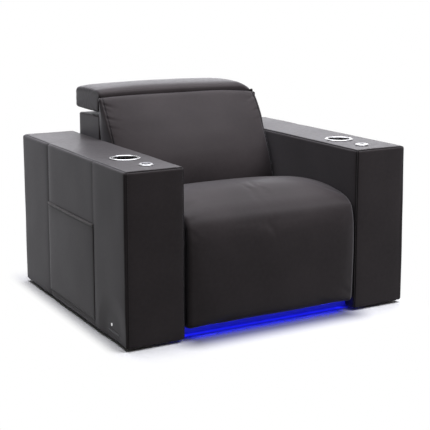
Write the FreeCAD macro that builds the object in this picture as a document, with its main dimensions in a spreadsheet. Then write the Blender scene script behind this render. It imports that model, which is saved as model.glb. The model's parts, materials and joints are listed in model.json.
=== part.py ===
import FreeCAD, Part
import math
import os

import Sketcher

# Cinema recliner seat between two padded arms.
# Millimetres, +Z up, sitter faces -Y, origin on the floor under the middle of the seat.

Vector = FreeCAD.Vector
Placement = FreeCAD.Placement
Rotation = FreeCAD.Rotation

SIZES = [
    ("overall_width", 1140.0, "across the two arms"),
    ("overall_depth", 1000.0, "nose of the leg pad to the back of the arms"),
    ("arm_width", 218.0, "one padded arm without its side panel"),
    ("arm_height", 605.0, "top of the arm above the floor"),
    ("arm_setback", 15.0, "arm front behind the nose of the leg pad"),
    ("floor_gap", 8.0, "underside of the arms above the floor"),
    ("cover_thickness", 20.0, "padding and leather on the arm carcase"),
    ("board_thickness", 15.0, "boards of the arm carcase"),
    ("cover_round", 12.0, "rounding of the arm edges"),
    ("panel_thickness", 2.0, "flat pocket panel on the arm side"),
    ("panel_top", 382.0, "rim of the pocket panel above the floor"),
    ("cup_inset", 118.0, "cup axis from the outer edge of the arm"),
    ("cup_setback", 254.5, "cup axis behind the arm front"),
    ("cup_flange_radius", 54.0, "flange of the cup holder"),
    ("cup_outer_radius", 44.0, "wall of the cup holder, outside"),
    ("cup_inner_radius", 42.5, "wall of the cup holder, inside"),
    ("cup_depth", 78.0, "cup holder below the arm top"),
    ("ring_inset", 124.0, "switch and dock axis from the outer edge of the arm"),
    ("ring_setback", 99.5, "switch and dock axis behind the arm front"),
    ("ring_radius", 25.0, "flange of the switch and of the dock"),
    ("dock_bore_radius", 10.0, "accessory dock bore"),
    ("dock_depth", 55.0, "accessory dock bore below the arm top"),
    ("button_travel", 2.0, "stroke of each button"),
    ("cushion_gap", 5.0, "cushion side to arm"),
    ("rail_thickness", 5.0, "base rail plate"),
    ("link_thickness", 6.0, "every link bar"),
    ("plate_thickness", 5.0, "seat side plate"),
    ("plane_gap", 1.5, "air between neighbouring plates"),
    ("pin_radius", 5.0, "pivot pins"),
    ("running_gap", 0.05, "radial clearance of a pivot"),
    ("swing_length", 120.0, "swing link between its pivots"),
    ("swing_rest_deg", 28.0, "swing link lean to the rear at rest"),
    ("swing_top_depth", 383.8, "front swing link top pivot behind the nose"),
    ("swing_top_height", 201.0, "swing link top pivots above the floor"),
    ("swing_spacing", 330.0, "front to rear swing link"),
    ("back_pivot_depth", 742.5, "back hinge behind the nose"),
    ("back_pivot_height", 300.0, "back hinge above the floor"),
    ("leg_centre_depth", 1.5, "leg rest turning centre behind the nose"),
    ("leg_centre_height", 454.0, "leg rest turning centre above the floor"),
    ("leg_reach", 320.0, "turning centre to the main leg link pivot"),
    ("leg_link_spacing", 102.4, "main to rear leg link pivot"),
    ("leg_fall_deg", 38.66, "fall of the pivot line to the rear"),
    ("leg_link_rest_deg", 35.0, "leg link lean to the rear at rest"),
    ("upper_bar_drop", 150.0, "leg link pivot to the upper bar"),
    ("lower_bar_drop", 230.0, "leg link pivot to the lower bar"),
    ("leg_pad_thickness", 60.0, "foam of the leg pad"),
    ("leg_board_thickness", 12.0, "board of the leg pad"),
    ("leg_pad_bottom", 36.0, "underside of the leg pad above the floor"),
    ("leg_pad_top", 398.0, "top of the leg pad above the floor"),
    ("seat_base_height", 354.3, "underside of the seat cushion"),
    ("seat_side_height", 462.0, "seat cushion at its side, highest"),
    ("seat_crown", 28.0, "seat cushion middle above its side"),
    ("seat_depth", 557.0, "seat cushion rear face behind the nose"),
    ("back_top", 763.0, "back cushion top"),
    ("back_bottom", 358.0, "back cushion underside"),
    ("back_board_depth", 743.5, "front face of the back board behind the nose"),
    ("back_board_thickness", 16.0, "back board"),
    ("shell_setback", 42.5, "rear face of the back box ahead of the arm rear"),
    ("shell_wall", 12.0, "wall of the back box"),
    ("shell_top", 687.0, "top of the back box"),
    ("shell_bottom", 300.0, "underside of the back box"),
    ("headrest_setback", 11.5, "rear face of the headrest ahead of the arm rear"),
    ("headrest_bottom", 703.0, "underside of the headrest board"),
    ("headrest_top", 808.0, "crown of the headrest"),
    ("headrest_pivot_depth", 752.0, "headrest hinge behind the nose"),
    ("headrest_pivot_height", 775.5, "headrest hinge above the floor"),
    ("headrest_hinge_offset", 146.0, "headrest hinge from the middle"),
    ("lever_length", 95.0, "back hinge to actuator pin"),
    ("actuator_height", 209.4, "actuator pin above the floor"),
]

doc = FreeCAD.newDocument("cinema_recliner_seat")
sheet = doc.addObject("Spreadsheet::Sheet", "sizes")
for row, (alias, value, note) in enumerate(SIZES, start=1):
    sheet.set(f"A{row}", alias)
    sheet.set(f"B{row}", str(value))
    sheet.setAlias(f"B{row}", alias)
    sheet.set(f"C{row}", note)
doc.recompute()

nodes = []


def size(alias):
    """One driving size from the sheet, in millimetres or degrees."""
    return float(sheet.get(alias))


def keep(obj, label):
    """Names a finished sub-part and lists it for export."""
    obj.Label = label
    nodes.append(obj)
    return obj


def add(a, b):
    return (a[0] + b[0], a[1] + b[1])


# Reference faces and lines

half_width = size("overall_width") / 2
front = -size("overall_depth") / 2
rear = size("overall_depth") / 2
arm_front = front + size("arm_setback")
arm_outer = half_width - size("panel_thickness")
arm_inner = arm_outer - size("arm_width")
arm_top = size("arm_height")
cushion_half = arm_inner - size("cushion_gap")

# Side planes of the mechanism, counted inwards from the arm: (outer x, inner x)

rail_plane = (arm_inner, arm_inner - size("rail_thickness"))
swing_outer = rail_plane[1] - size("plane_gap")
swing_plane = (swing_outer, swing_outer - size("link_thickness"))
plate_outer = swing_plane[1] - size("plane_gap")
plate_plane = (plate_outer, plate_outer - size("plate_thickness"))
leg_outer = plate_plane[1] - size("plane_gap")
leg_plane = (leg_outer, leg_outer - size("link_thickness"))
bar_outer = leg_plane[1] - size("plane_gap") - 0.5
bar_plane = (bar_outer, bar_outer - size("link_thickness"))
frame_half = bar_plane[1] - 7.5

# Pivots in the side view: (y, z)

lean = math.radians(size("swing_rest_deg"))
swing_vector = (size("swing_length") * math.sin(lean), size("swing_length") * math.cos(lean))
front_top = (front + size("swing_top_depth"), size("swing_top_height"))
rear_top = (front_top[0] + size("swing_spacing"), front_top[1])
front_base = (front_top[0] - swing_vector[0], front_top[1] - swing_vector[1])
rear_base = (rear_top[0] - swing_vector[0], rear_top[1] - swing_vector[1])
back_pivot = (front + size("back_pivot_depth"), size("back_pivot_height"))
leg_centre = (front + size("leg_centre_depth"), size("leg_centre_height"))
fall = math.radians(size("leg_fall_deg"))
main_offset = (size("leg_reach") * math.cos(fall), -size("leg_reach") * math.sin(fall))
rear_reach = size("leg_reach") + size("leg_link_spacing")
rear_offset = (rear_reach * math.cos(fall), -rear_reach * math.sin(fall))
main_pivot = add(leg_centre, main_offset)
rear_pivot = add(leg_centre, rear_offset)
drop = math.radians(size("leg_link_rest_deg"))
upper_drop = (size("upper_bar_drop") * math.sin(drop), -size("upper_bar_drop") * math.cos(drop))
lower_drop = (size("lower_bar_drop") * math.sin(drop), -size("lower_bar_drop") * math.cos(drop))
main_upper = add(main_pivot, upper_drop)
main_lower = add(main_pivot, lower_drop)
rear_upper = add(rear_pivot, upper_drop)
leg_upper = add(leg_centre, upper_drop)
leg_lower = add(leg_centre, lower_drop)
headrest_pivot = (front + size("headrest_pivot_depth"), size("headrest_pivot_height"))
lever_drop = size("back_pivot_height") - size("actuator_height")
lever_back = math.sqrt(size("lever_length") ** 2 - lever_drop ** 2)
actuator_pin = (back_pivot[0] + lever_back, size("actuator_height"))
leg_board_front = front + size("leg_pad_thickness") + 1.5
leg_board_rear = leg_board_front + size("leg_board_thickness")
back_board_front = front + size("back_board_depth")
back_board_rear = back_board_front + size("back_board_thickness")
shell_rear = rear - size("shell_setback")

pin = size("pin_radius")
free_hole = pin + size("running_gap")
PIN_HEAD_RADIUS = 8.0
PIN_HEAD_HEIGHT = 3.0


# Sketch helpers

def origin_plane(body, role):
    for feature in body.Origin.OriginFeatures:
        if feature.Role == role:
            return feature
    raise ValueError(role)


def new_sketch(body, role, offset, name):
    sketch = body.newObject("Sketcher::SketchObject", name)
    sketch.AttachmentSupport = [(origin_plane(body, role), "")]
    sketch.MapMode = "FlatFace"
    sketch.AttachmentOffset = Placement(Vector(0, 0, offset), Rotation())
    return sketch


def draw_loop(sketch, points):
    """Closed run of straight edges through the points."""
    first = len(sketch.Geometry)
    count = len(points)
    for i in range(count):
        a = points[i]
        b = points[(i + 1) % count]
        sketch.addGeometry(Part.LineSegment(Vector(a[0], a[1], 0), Vector(b[0], b[1], 0)), False)
    for i in range(count):
        following = first + (i + 1) % count
        sketch.addConstraint(Sketcher.Constraint("Coincident", first + i, 2, following, 1))


def draw_slot(sketch, p, q, radius):
    """Straight-sided outline with a round end about each of two points."""
    dx = q[0] - p[0]
    dy = q[1] - p[1]
    turn = math.atan2(dy, dx)
    nx = -math.sin(turn) * radius
    ny = math.cos(turn) * radius
    up = Vector(0, 0, 1)
    below_p = Vector(p[0] - nx, p[1] - ny, 0)
    below_q = Vector(q[0] - nx, q[1] - ny, 0)
    above_p = Vector(p[0] + nx, p[1] + ny, 0)
    above_q = Vector(q[0] + nx, q[1] + ny, 0)
    sketch.addGeometry(Part.LineSegment(below_p, below_q), False)
    end = Part.Circle(Vector(q[0], q[1], 0), up, radius)
    sketch.addGeometry(Part.ArcOfCircle(end, turn - math.pi / 2, turn + math.pi / 2), False)
    sketch.addGeometry(Part.LineSegment(above_q, above_p), False)
    start = Part.Circle(Vector(p[0], p[1], 0), up, radius)
    sketch.addGeometry(Part.ArcOfCircle(start, turn + math.pi / 2, turn + 3 * math.pi / 2), False)


def draw_circle(sketch, centre, radius):
    circle = Part.Circle(Vector(centre[0], centre[1], 0), Vector(0, 0, 1), radius)
    sketch.addGeometry(circle, False)


def rectangle(u0, v0, u1, v1):
    return [(u0, v0), (u1, v0), (u1, v1), (u0, v1)]


def pad(body, sketch, name, length):
    """Pads along the sketch normal; length is a number or a sheet expression."""
    feature = body.newObject("PartDesign::Pad", name)
    feature.Profile = sketch
    if isinstance(length, str):
        feature.setExpression("Length", length)
    else:
        feature.Length = length
    sketch.Visibility = False
    return feature


def pocket(body, sketch, name, length, downwards=True):
    """Pockets against the sketch normal, or along it when downwards is false."""
    feature = body.newObject("PartDesign::Pocket", name)
    feature.Profile = sketch
    if isinstance(length, str):
        feature.setExpression("Length", length)
    else:
        feature.Length = length
    feature.Reversed = not downwards
    sketch.Visibility = False
    return feature


def fillet(body, base, name, chosen, radius):
    """Rounds the edges of base that the chosen test accepts."""
    doc.recompute()
    edges = []
    for number, edge in enumerate(base.Shape.Edges, start=1):
        if chosen(edge):
            edges.append(f"Edge{number}")
    feature = body.newObject("PartDesign::Fillet", name)
    feature.Base = (base, edges)
    if isinstance(radius, str):
        feature.setExpression("Radius", radius)
    else:
        feature.Radius = radius
    return feature


def side_plate(label, plane, side, outline, holes, thickness):
    """Flat plate in the side view, padded along X; side is +1 for the right hand."""
    body = doc.addObject("PartDesign::Body", label)
    start = plane[1] if side > 0 else -plane[0]
    sketch = new_sketch(body, "YZ_Plane", start, label + "_outline")
    outline(sketch)
    for centre, radius in holes:
        draw_circle(sketch, centre, radius)
    pad(body, sketch, label + "_pad", f"sizes.{thickness}")
    return keep(body, label)


def turned(label, profile, x, y, z):
    """Solid of revolution about a vertical axis; profile is (radius, height) pairs."""
    body = doc.addObject("PartDesign::Body", label)
    sketch = new_sketch(body, "XZ_Plane", 0, label + "_profile")
    draw_loop(sketch, profile)
    feature = body.newObject("PartDesign::Revolution", label + "_turn")
    feature.Profile = sketch
    feature.ReferenceAxis = (sketch, ["V_Axis"])
    feature.Angle = 360
    sketch.Visibility = False
    body.Placement = Placement(Vector(x, y, z), Rotation())
    return keep(body, label)


def group(label, solids):
    """One node that holds a set of like pieces."""
    obj = doc.addObject("Part::Feature", label)
    obj.Shape = Part.makeCompound(solids) if len(solids) > 1 else solids[0]
    return keep(obj, label)


def box(x0, x1, y0, y1, z0, z1):
    return Part.makeBox(x1 - x0, y1 - y0, z1 - z0, Vector(x0, y0, z0))


def pivot_pin(side, point, x_outer, x_inner, head):
    """Pin along X between two side distances; head is inner, outer or none."""
    low = min(side * x_outer, side * x_inner)
    y, z = point
    shaft = Part.makeCylinder(pin, abs(x_outer - x_inner), Vector(low, y, z), Vector(1, 0, 0))
    if head == "none":
        return shaft
    near = x_inner - PIN_HEAD_HEIGHT if head == "inner" else x_outer
    far = x_inner if head == "inner" else x_outer + PIN_HEAD_HEIGHT
    start = min(side * near, side * far)
    cap = Part.makeCylinder(PIN_HEAD_RADIUS, PIN_HEAD_HEIGHT, Vector(start, y, z), Vector(1, 0, 0))
    return shaft.fuse(cap).removeSplitter()


def section(x, path):
    """Closed outline in the plane of one x; each step is a point or an arc (middle, end)."""
    edges = []
    here = path[0]
    for step in path[1:] + [path[0]]:
        a = Vector(x, here[0], here[1])
        if isinstance(step[0], tuple):
            middle, end = step
            edges.append(Part.Arc(a, Vector(x, middle[0], middle[1]), Vector(x, end[0], end[1])).toShape())
            here = end
        else:
            edges.append(Part.makeLine(a, Vector(x, step[0], step[1])))
            here = step
    return Part.Wire(edges)


def cushion(label, outline, stations):
    """Padded form drawn through one outline at each station across the seat."""
    wires = []
    for x in stations:
        wires.append(section(x, outline(x)))
    solid = Part.makeLoft(wires, True, True)
    if solid.Volume < 0:
        solid.reverse()
    return solid


def spread(half):
    """Stations across a cushion, close together near its sides."""
    shares = [0.0, 0.3, 0.58, 0.8, 0.93, 0.982, 1.0]
    right = [half * share for share in shares]
    return [-x for x in reversed(right[1:])] + right


def crown(x, half):
    """One in the middle of a cushion, nought at its sides."""
    return max(0.0, 1.0 - abs(x / half) ** 2.6)


def draw_in(x, half, depth):
    """Rounding of a cushion's outline near its sides."""
    past = max(0.0, (abs(x) / half - 0.93) / 0.07)
    return depth * (1.0 - math.sqrt(max(0.0, 1.0 - min(1.0, past) ** 2)))


# Arms: board carcase, padded cover, flat pocket panel

def arm_cover(label, side):
    body = doc.addObject("PartDesign::Body", label)
    x0 = arm_inner if side > 0 else -arm_outer
    x1 = x0 + size("arm_width")
    base = new_sketch(body, "XY_Plane", size("floor_gap"), label + "_foot")
    draw_loop(base, rectangle(x0, arm_front, x1, rear))
    block = pad(body, base, label + "_block", "sizes.arm_height - sizes.floor_gap")

    def outside(edge):
        """Top edges and upright edges, not the foot or the edge against the seat."""
        box_of = edge.BoundBox
        upright = box_of.ZLength > 1
        return upright or box_of.ZMin > arm_top - 1

    rounded = fillet(body, block, label + "_edges", outside, "sizes.cover_round")
    doc.recompute()
    wall = size("cover_thickness")
    hollow = new_sketch(body, "XY_Plane", size("floor_gap"), label + "_hollow")
    draw_loop(hollow, rectangle(x0 + wall, arm_front + wall, x1 - wall, rear - wall))
    depth = "sizes.arm_height - sizes.floor_gap - sizes.cover_thickness"
    pocket(body, hollow, label + "_cavity", depth, downwards=False)
    mouths = new_sketch(body, "XY_Plane", arm_top, label + "_mouths")
    draw_circle(mouths, cup_axis(side), size("cup_outer_radius") + 0.5)
    draw_circle(mouths, ring_axis(side), size("ring_radius") - 7.5)
    pocket(body, mouths, label + "_bores", "sizes.cover_thickness + 1")
    return keep(body, label)


def cup_axis(side):
    return (side * (half_width - size("cup_inset")), arm_front + size("cup_setback"))


def ring_axis(side):
    return (side * (half_width - size("ring_inset")), arm_front + size("ring_setback"))


def arm_frame(label, side):
    body = doc.addObject("PartDesign::Body", label)
    wall = size("cover_thickness")
    board = size("board_thickness")
    x0 = (arm_inner if side > 0 else -arm_outer) + wall
    x1 = x0 + size("arm_width") - 2 * wall
    y0 = arm_front + wall
    y1 = rear - wall
    base = new_sketch(body, "XY_Plane", size("floor_gap"), label + "_foot")
    draw_loop(base, rectangle(x0, y0, x1, y1))
    pad(body, base, label + "_block", "sizes.arm_height - sizes.floor_gap - sizes.cover_thickness")
    above = new_sketch(body, "XY_Plane", size("floor_gap") + 20, label + "_room")
    draw_loop(above, rectangle(x0 + board, y0 + board, x1 - board, y1 - board))
    depth = "sizes.arm_height - sizes.floor_gap - sizes.cover_thickness - sizes.board_thickness - 20"
    pocket(body, above, label + "_cavity", depth, downwards=False)
    mouths = new_sketch(body, "XY_Plane", arm_top - wall, label + "_mouths")
    draw_circle(mouths, cup_axis(side), size("cup_outer_radius") + 0.5)
    draw_circle(mouths, ring_axis(side), size("ring_radius") - 7.5)
    pocket(body, mouths, label + "_bores", "sizes.board_thickness + 1")
    return keep(body, label)


panel_front = front + 279.5
panel_rear = front + 715.5
for side, hand in ((-1, "left"), (1, "right")):
    arm_cover(f"{hand}_arm_cover", side)
    arm_frame(f"{hand}_arm_frame", side)
    panel = doc.addObject("Part::Box", f"{hand}_side_pocket")
    panel.setExpression("Length", "sizes.panel_thickness")
    panel.Width = panel_rear - panel_front
    panel.setExpression("Height", "sizes.panel_top - 40")
    panel_x = arm_outer if side > 0 else -half_width
    panel.Placement = Placement(Vector(panel_x, panel_front, 40), Rotation())
    keep(panel, f"{hand}_side_pocket")

# Cup holders: one pressed cup in each arm

cup_out = size("cup_outer_radius")
cup_in = size("cup_inner_radius")
cup_low = -size("cup_depth")
cup_profile = [
    (0, cup_low),
    (cup_out - 3, cup_low),
    (cup_out, cup_low + 3),
    (cup_out, 0),
    (size("cup_flange_radius"), 0),
    (size("cup_flange_radius"), 1.6),
    (size("cup_flange_radius") - 3, 3.4),
    (cup_in + 2, 3.4),
    (cup_in, 1.4),
    (cup_in, cup_low + 1.5),
    (0, cup_low + 1.5),
]
for side, hand in ((-1, "left"), (1, "right")):
    cup_x, cup_y = cup_axis(side)
    turned(f"{hand}_cup_holder", cup_profile, cup_x, cup_y, arm_top)

# Two-button switch in the left arm

switch_x, switch_y = ring_axis(-1)
well_radius = size("ring_radius") - 10
button_radius = well_radius - 0.3
bezel_profile = [
    (well_radius, 0),
    (size("ring_radius"), 0),
    (size("ring_radius"), 1.5),
    (size("ring_radius") - 2.5, 4),
    (well_radius, 4),
]
turned("switch_bezel", bezel_profile, switch_x, switch_y, arm_top)

housing = doc.addObject("Part::Cylinder", "switch_housing")
housing.Radius = well_radius + 2
housing.Height = 32
housing.Placement = Placement(Vector(switch_x, switch_y, arm_top - 36), Rotation())
keep(housing, "switch_housing")

for label, turn in (("recline_button", 0.0), ("return_button", 180.0)):
    body = doc.addObject("PartDesign::Body", label)
    outline = new_sketch(body, "XY_Plane", 0, label + "_outline")
    split = 0.6
    reach = math.sqrt(button_radius ** 2 - split ** 2)
    opening = math.asin(split / button_radius)
    half_round = Part.Circle(Vector(0, 0, 0), Vector(0, 0, 1), button_radius)
    outline.addGeometry(Part.LineSegment(Vector(-reach, split, 0), Vector(reach, split, 0)), False)
    outline.addGeometry(Part.ArcOfCircle(half_round, opening, math.pi - opening), False)
    pad(body, outline, label + "_pad", 8)
    lift = arm_top - 4 + size("button_travel") + 0.5
    body.Placement = Placement(Vector(switch_x, switch_y, lift), Rotation(Vector(0, 0, 1), turn))
    keep(body, label)

# Accessory dock in the right arm: a plain socket

dock_x, dock_y = ring_axis(1)
dock_in = size("dock_bore_radius")
dock_low = -size("dock_depth")
dock_profile = [
    (0, dock_low - 3),
    (dock_in + 3, dock_low - 3),
    (dock_in + 3, 0),
    (size("ring_radius"), 0),
    (size("ring_radius"), 1.5),
    (size("ring_radius") - 2.5, 3.5),
    (dock_in, 3.5),
    (dock_in, dock_low),
    (0, dock_low),
]
turned("accessory_dock", dock_profile, dock_x, dock_y, arm_top)

# Plain stud and bare tag low on the left arm

stud_y = front + 139.5
stud = Part.makeCylinder(6, 1.6, Vector(-arm_outer - 1.6, stud_y, 63), Vector(1, 0, 0))
stud = stud.makeFillet(1.0, [e for e in stud.Edges if e.BoundBox.XMax < -arm_outer - 1])
group("tag_stud", [stud])
tag = doc.addObject("Part::Box", "side_tag")
tag.Length = 1.2
tag.Width = 87
tag.Height = 7
tag.Placement = Placement(Vector(-arm_outer - 1.2, front + 78.5, 37), Rotation())
keep(tag, "side_tag")

# Glides under the arm corners

glides = []
GLIDE_RADIUS = 20.0
inset = size("cover_thickness") + size("board_thickness") + 25
for side in (-1, 1):
    for gx in (arm_inner + inset, arm_outer - inset):
        for gy in (arm_front + inset, rear - inset):
            glide = Part.makeCylinder(GLIDE_RADIUS, size("floor_gap"), Vector(side * gx, gy, 0))
            glides.append(glide.makeChamfer(1.5, [glide.Edges[2]]))
group("arm_glides", glides)

# Base: a rail on each arm, two cross tubes, rear panel, light strip

rail_low = front_base[1] - 30
rail_high = front_base[1] + 42
tube_height = front_base[1] - 12
front_tube = (front + 477.5, tube_height)
rear_tube = (front + 757.5, tube_height)


def rail_outline(sketch):
    draw_loop(
        sketch,
        [
            (front_base[0] - 45, rail_low),
            (rear_tube[0] + 40, rail_low),
            (rear_tube[0] + 40, tube_height + 24),
            (rear_base[0] + 25, rail_high),
            (front_base[0] - 25, rail_high),
            (front_base[0] - 45, rail_high - 20),
        ],
    )


for side, hand in ((-1, "left"), (1, "right")):
    holes = [(front_base, pin), (rear_base, pin)]
    side_plate(f"{hand}_base_rail", rail_plane, side, rail_outline, holes, "rail_thickness")

tubes = []
for centre in (front_tube, rear_tube):
    start = Vector(-rail_plane[1], centre[0], centre[1])
    outer = Part.makeCylinder(16, 2 * rail_plane[1], start, Vector(1, 0, 0))
    bore = Part.makeCylinder(14, 2 * rail_plane[1], start, Vector(1, 0, 0))
    tubes.append(outer.cut(bore))
group("base_cross_tubes", tubes)

rear_panel = doc.addObject("Part::Box", "rear_panel")
rear_panel.Length = 2 * arm_inner
rear_panel.Width = 20
rear_panel.Height = 240
rear_panel.Placement = Placement(Vector(-arm_inner, rear - 22.5, 60), Rotation())
keep(rear_panel, "rear_panel")

channel_y = front + 67.5
channel = doc.addObject("PartDesign::Body", "led_channel")
channel_sketch = new_sketch(channel, "YZ_Plane", -arm_inner, "led_channel_outline")
draw_loop(
    channel_sketch,
    [
        (channel_y, 10),
        (channel_y + 3, 10),
        (channel_y + 3, 19),
        (channel_y + 21, 19),
        (channel_y + 21, 10),
        (channel_y + 24, 10),
        (channel_y + 24, 28),
        (channel_y, 28),
    ],
)
pad(channel, channel_sketch, "led_channel_pad", 2 * arm_inner)
keep(channel, "led_channel")
diffuser = doc.addObject("Part::Box", "led_diffuser")
diffuser.Length = 2 * arm_inner - 20
diffuser.Width = 18
diffuser.Height = 7
diffuser.Placement = Placement(Vector(-arm_inner + 10, channel_y + 3, 12), Rotation())
keep(diffuser, "led_diffuser")

pins = []
for side in (-1, 1):
    for point in (front_base, rear_base):
        pins.append(pivot_pin(side, point, rail_plane[0], swing_plane[1], "inner"))
group("base_pivot_pins", pins)

# Swing links: equal cranks that carry the seat forward on an arc

LINK_HALF = 11.0
for side, hand in ((-1, "left"), (1, "right")):
    for end, base_point, top_point in (
        ("front", front_base, front_top),
        ("rear", rear_base, rear_top),
    ):
        def swing_outline(sketch, p=base_point, q=top_point):
            draw_slot(sketch, p, q, LINK_HALF)

        holes = [(base_point, free_hole), (top_point, free_hole)]
        label = f"{hand}_{end}_link"
        side_plate(label, swing_plane, side, swing_outline, holes, "link_thickness")

# Seat carriage: side plates, wood frame, springs, cushion

flange_low = size("seat_base_height") - 41.3
flange_high = flange_low + size("plate_thickness")


def plate_outline(sketch):
    draw_loop(
        sketch,
        [
            (main_pivot[0] - 54, flange_high),
            (main_pivot[0] - 54, main_pivot[1] + 20),
            (main_pivot[0] - 22, main_pivot[1] - 16),
            (rear_pivot[0] - 18, rear_pivot[1] - 20),
            (front_top[0] + 24, front_top[1] - 28),
            (front_top[0] + 70, front_top[1] + 30),
            (rear_top[0] - 60, rear_top[1] + 30),
            (rear_top[0] - 18, rear_top[1] - 18),
            (rear_top[0] + 16, rear_top[1] - 18),
            (back_pivot[0] + 10, back_pivot[1] - 12),
            (back_pivot[0] + 14, back_pivot[1] - 4),
            (back_pivot[0] + 14, back_pivot[1] + 6),
            (back_pivot[0] + 4, back_pivot[1] + 14),
            (back_pivot[0] - 10, flange_high),
        ],
    )


for side, hand in ((-1, "left"), (1, "right")):
    label = f"{hand}_seat_plate"
    body = doc.addObject("PartDesign::Body", label)
    start = plate_plane[1] if side > 0 else -plate_plane[0]
    web = new_sketch(body, "YZ_Plane", start, label + "_web")
    plate_outline(web)
    for centre in (main_pivot, rear_pivot, front_top, rear_top, back_pivot):
        draw_circle(web, centre, pin)
    pad(body, web, label + "_pad", "sizes.plate_thickness")
    flange = new_sketch(body, "XY_Plane", flange_low, label + "_flange")
    inner_x = side * (frame_half - 23)
    outer_x = side * plate_plane[1]
    flange_front = main_pivot[0] - 50
    flange_rear = back_pivot[0] - 35
    draw_loop(flange, rectangle(min(inner_x, outer_x), flange_front, max(inner_x, outer_x), flange_rear))
    pad(body, flange, label + "_shelf", "sizes.plate_thickness")
    keep(body, label)

frame_front = front + 82.5
frame_rear = front + 712.5
frame_low = flange_high
frame_high = size("seat_base_height") - 4.3
seat_frame = doc.addObject("PartDesign::Body", "seat_frame")
frame_sketch = new_sketch(seat_frame, "XY_Plane", frame_low, "seat_frame_outline")
draw_loop(frame_sketch, rectangle(-frame_half, frame_front, frame_half, frame_rear))
cross_front = front + 427.5
cross_rear = front + 467.5
draw_loop(frame_sketch, rectangle(-frame_half + 23, frame_front + 40, frame_half - 23, cross_front))
draw_loop(frame_sketch, rectangle(-frame_half + 23, cross_rear, frame_half - 23, frame_rear - 35))
pad(seat_frame, frame_sketch, "seat_frame_pad", frame_high - frame_low)
keep(seat_frame, "seat_frame")


def spring(x):
    """One sinuous spring of half rounds lying across the front and rear rails."""
    wire_radius = 2.0
    z = frame_high + wire_radius
    y0 = frame_front + 8
    y1 = frame_rear - 8
    turns = int((y1 - y0) / 34)
    pitch = (y1 - y0) / turns
    edges = []
    hand = 1
    for i in range(turns):
        y = y0 + i * pitch
        a = Vector(x, y, z)
        b = Vector(x + hand * pitch / 2, y + pitch / 2, z)
        c = Vector(x, y + pitch, z)
        edges.append(Part.Arc(a, b, c).toShape())
        hand = -hand
    path = Part.Wire(edges)
    rim = Part.Wire([Part.makeCircle(wire_radius, Vector(x, y0, z), Vector(1, 0, 0))])
    sweep = Part.BRepOffsetAPI.MakePipeShell(path)
    sweep.setBiNormalMode(Vector(0, 0, 1))
    sweep.add(rim)
    sweep.build()
    sweep.makeSolid()
    return sweep.shape()


springs = []
for i in range(5):
    springs.append(spring((i - 2) * frame_half * 0.36))
group("seat_springs", springs)

seat_rear = front + size("seat_depth")
seat_low = size("seat_base_height")
nose_low = size("leg_pad_top") + 3
top_z = size("seat_side_height")


def seat_outline(x):
    rise = size("seat_crown") * crown(x, cushion_half)
    tuck = draw_in(x, cushion_half, 12)
    step = front + 81.5
    return [
        (seat_rear, seat_low),
        (seat_rear, top_z - 46 + 0.35 * rise - tuck),
        (
            (front + 415.0, top_z - 22 + 0.75 * rise - tuck),
            (front + 245.0, top_z - 1 + rise - tuck),
        ),
        (
            (front + 150.0, top_z - 2 + 0.72 * rise - tuck),
            (front + 75.0, top_z - 12 + 0.35 * rise - tuck),
        ),
        (
            (front + 34.0 + 0.5 * tuck, top_z - 31 + 0.1 * rise - 0.6 * tuck),
            (front + 13.0 + tuck, nose_low),
        ),
        (step, nose_low),
        (step, seat_low),
    ]


group("seat_cushion", [cushion("seat_cushion", seat_outline, spread(cushion_half))])

# Actuator: motor tube hung from the seat frame, rod pulls the back lever forward

tube_front = front + 357.5
tube_rear = front + 627.5
rod_height = size("actuator_height") - 2.4
barrel = Part.makeCylinder(23, tube_rear - tube_front, Vector(0, tube_front, rod_height), Vector(0, 1, 0))
motor = Part.makeCylinder(30, 80, Vector(0, tube_front - 60, rod_height - 6), Vector(0, 1, 0))
hanger = box(-20, 20, cross_front + 8, cross_front + 30, rod_height, frame_low)
bore_start = Vector(0, tube_rear - 190, rod_height)
bore = Part.makeCylinder(10 + size("running_gap"), 190, bore_start, Vector(0, 1, 0))
housing_shape = barrel.fuse(motor).fuse(hanger).cut(bore).removeSplitter()
group("actuator_housing", [housing_shape])

eye_y, eye_z = actuator_pin
rod_start = Vector(0, tube_rear - 100, rod_height)
rod = Part.makeCylinder(10, eye_y - 16 - rod_start.y, rod_start, Vector(0, 1, 0))
eye = box(-7, 7, eye_y - 18, eye_y + 16, eye_z - 20, eye_z + 16)
slot = box(-8, 8, eye_y - pin - 0.5, eye_y + pin + 0.5, eye_z - pin - 5.5, eye_z + pin + 1)
group("actuator_rod", [rod.fuse(eye).cut(slot).removeSplitter()])

pins = []
for side in (-1, 1):
    for point in (front_top, rear_top):
        pins.append(pivot_pin(side, point, swing_plane[0], plate_plane[1], "outer"))
    for point in (main_pivot, rear_pivot, back_pivot):
        pins.append(pivot_pin(side, point, plate_plane[0], leg_plane[1], "inner"))
group("seat_pivot_pins", pins)

# Leg rest linkage: parallel links and bars that turn the pad about its hidden centre

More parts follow.
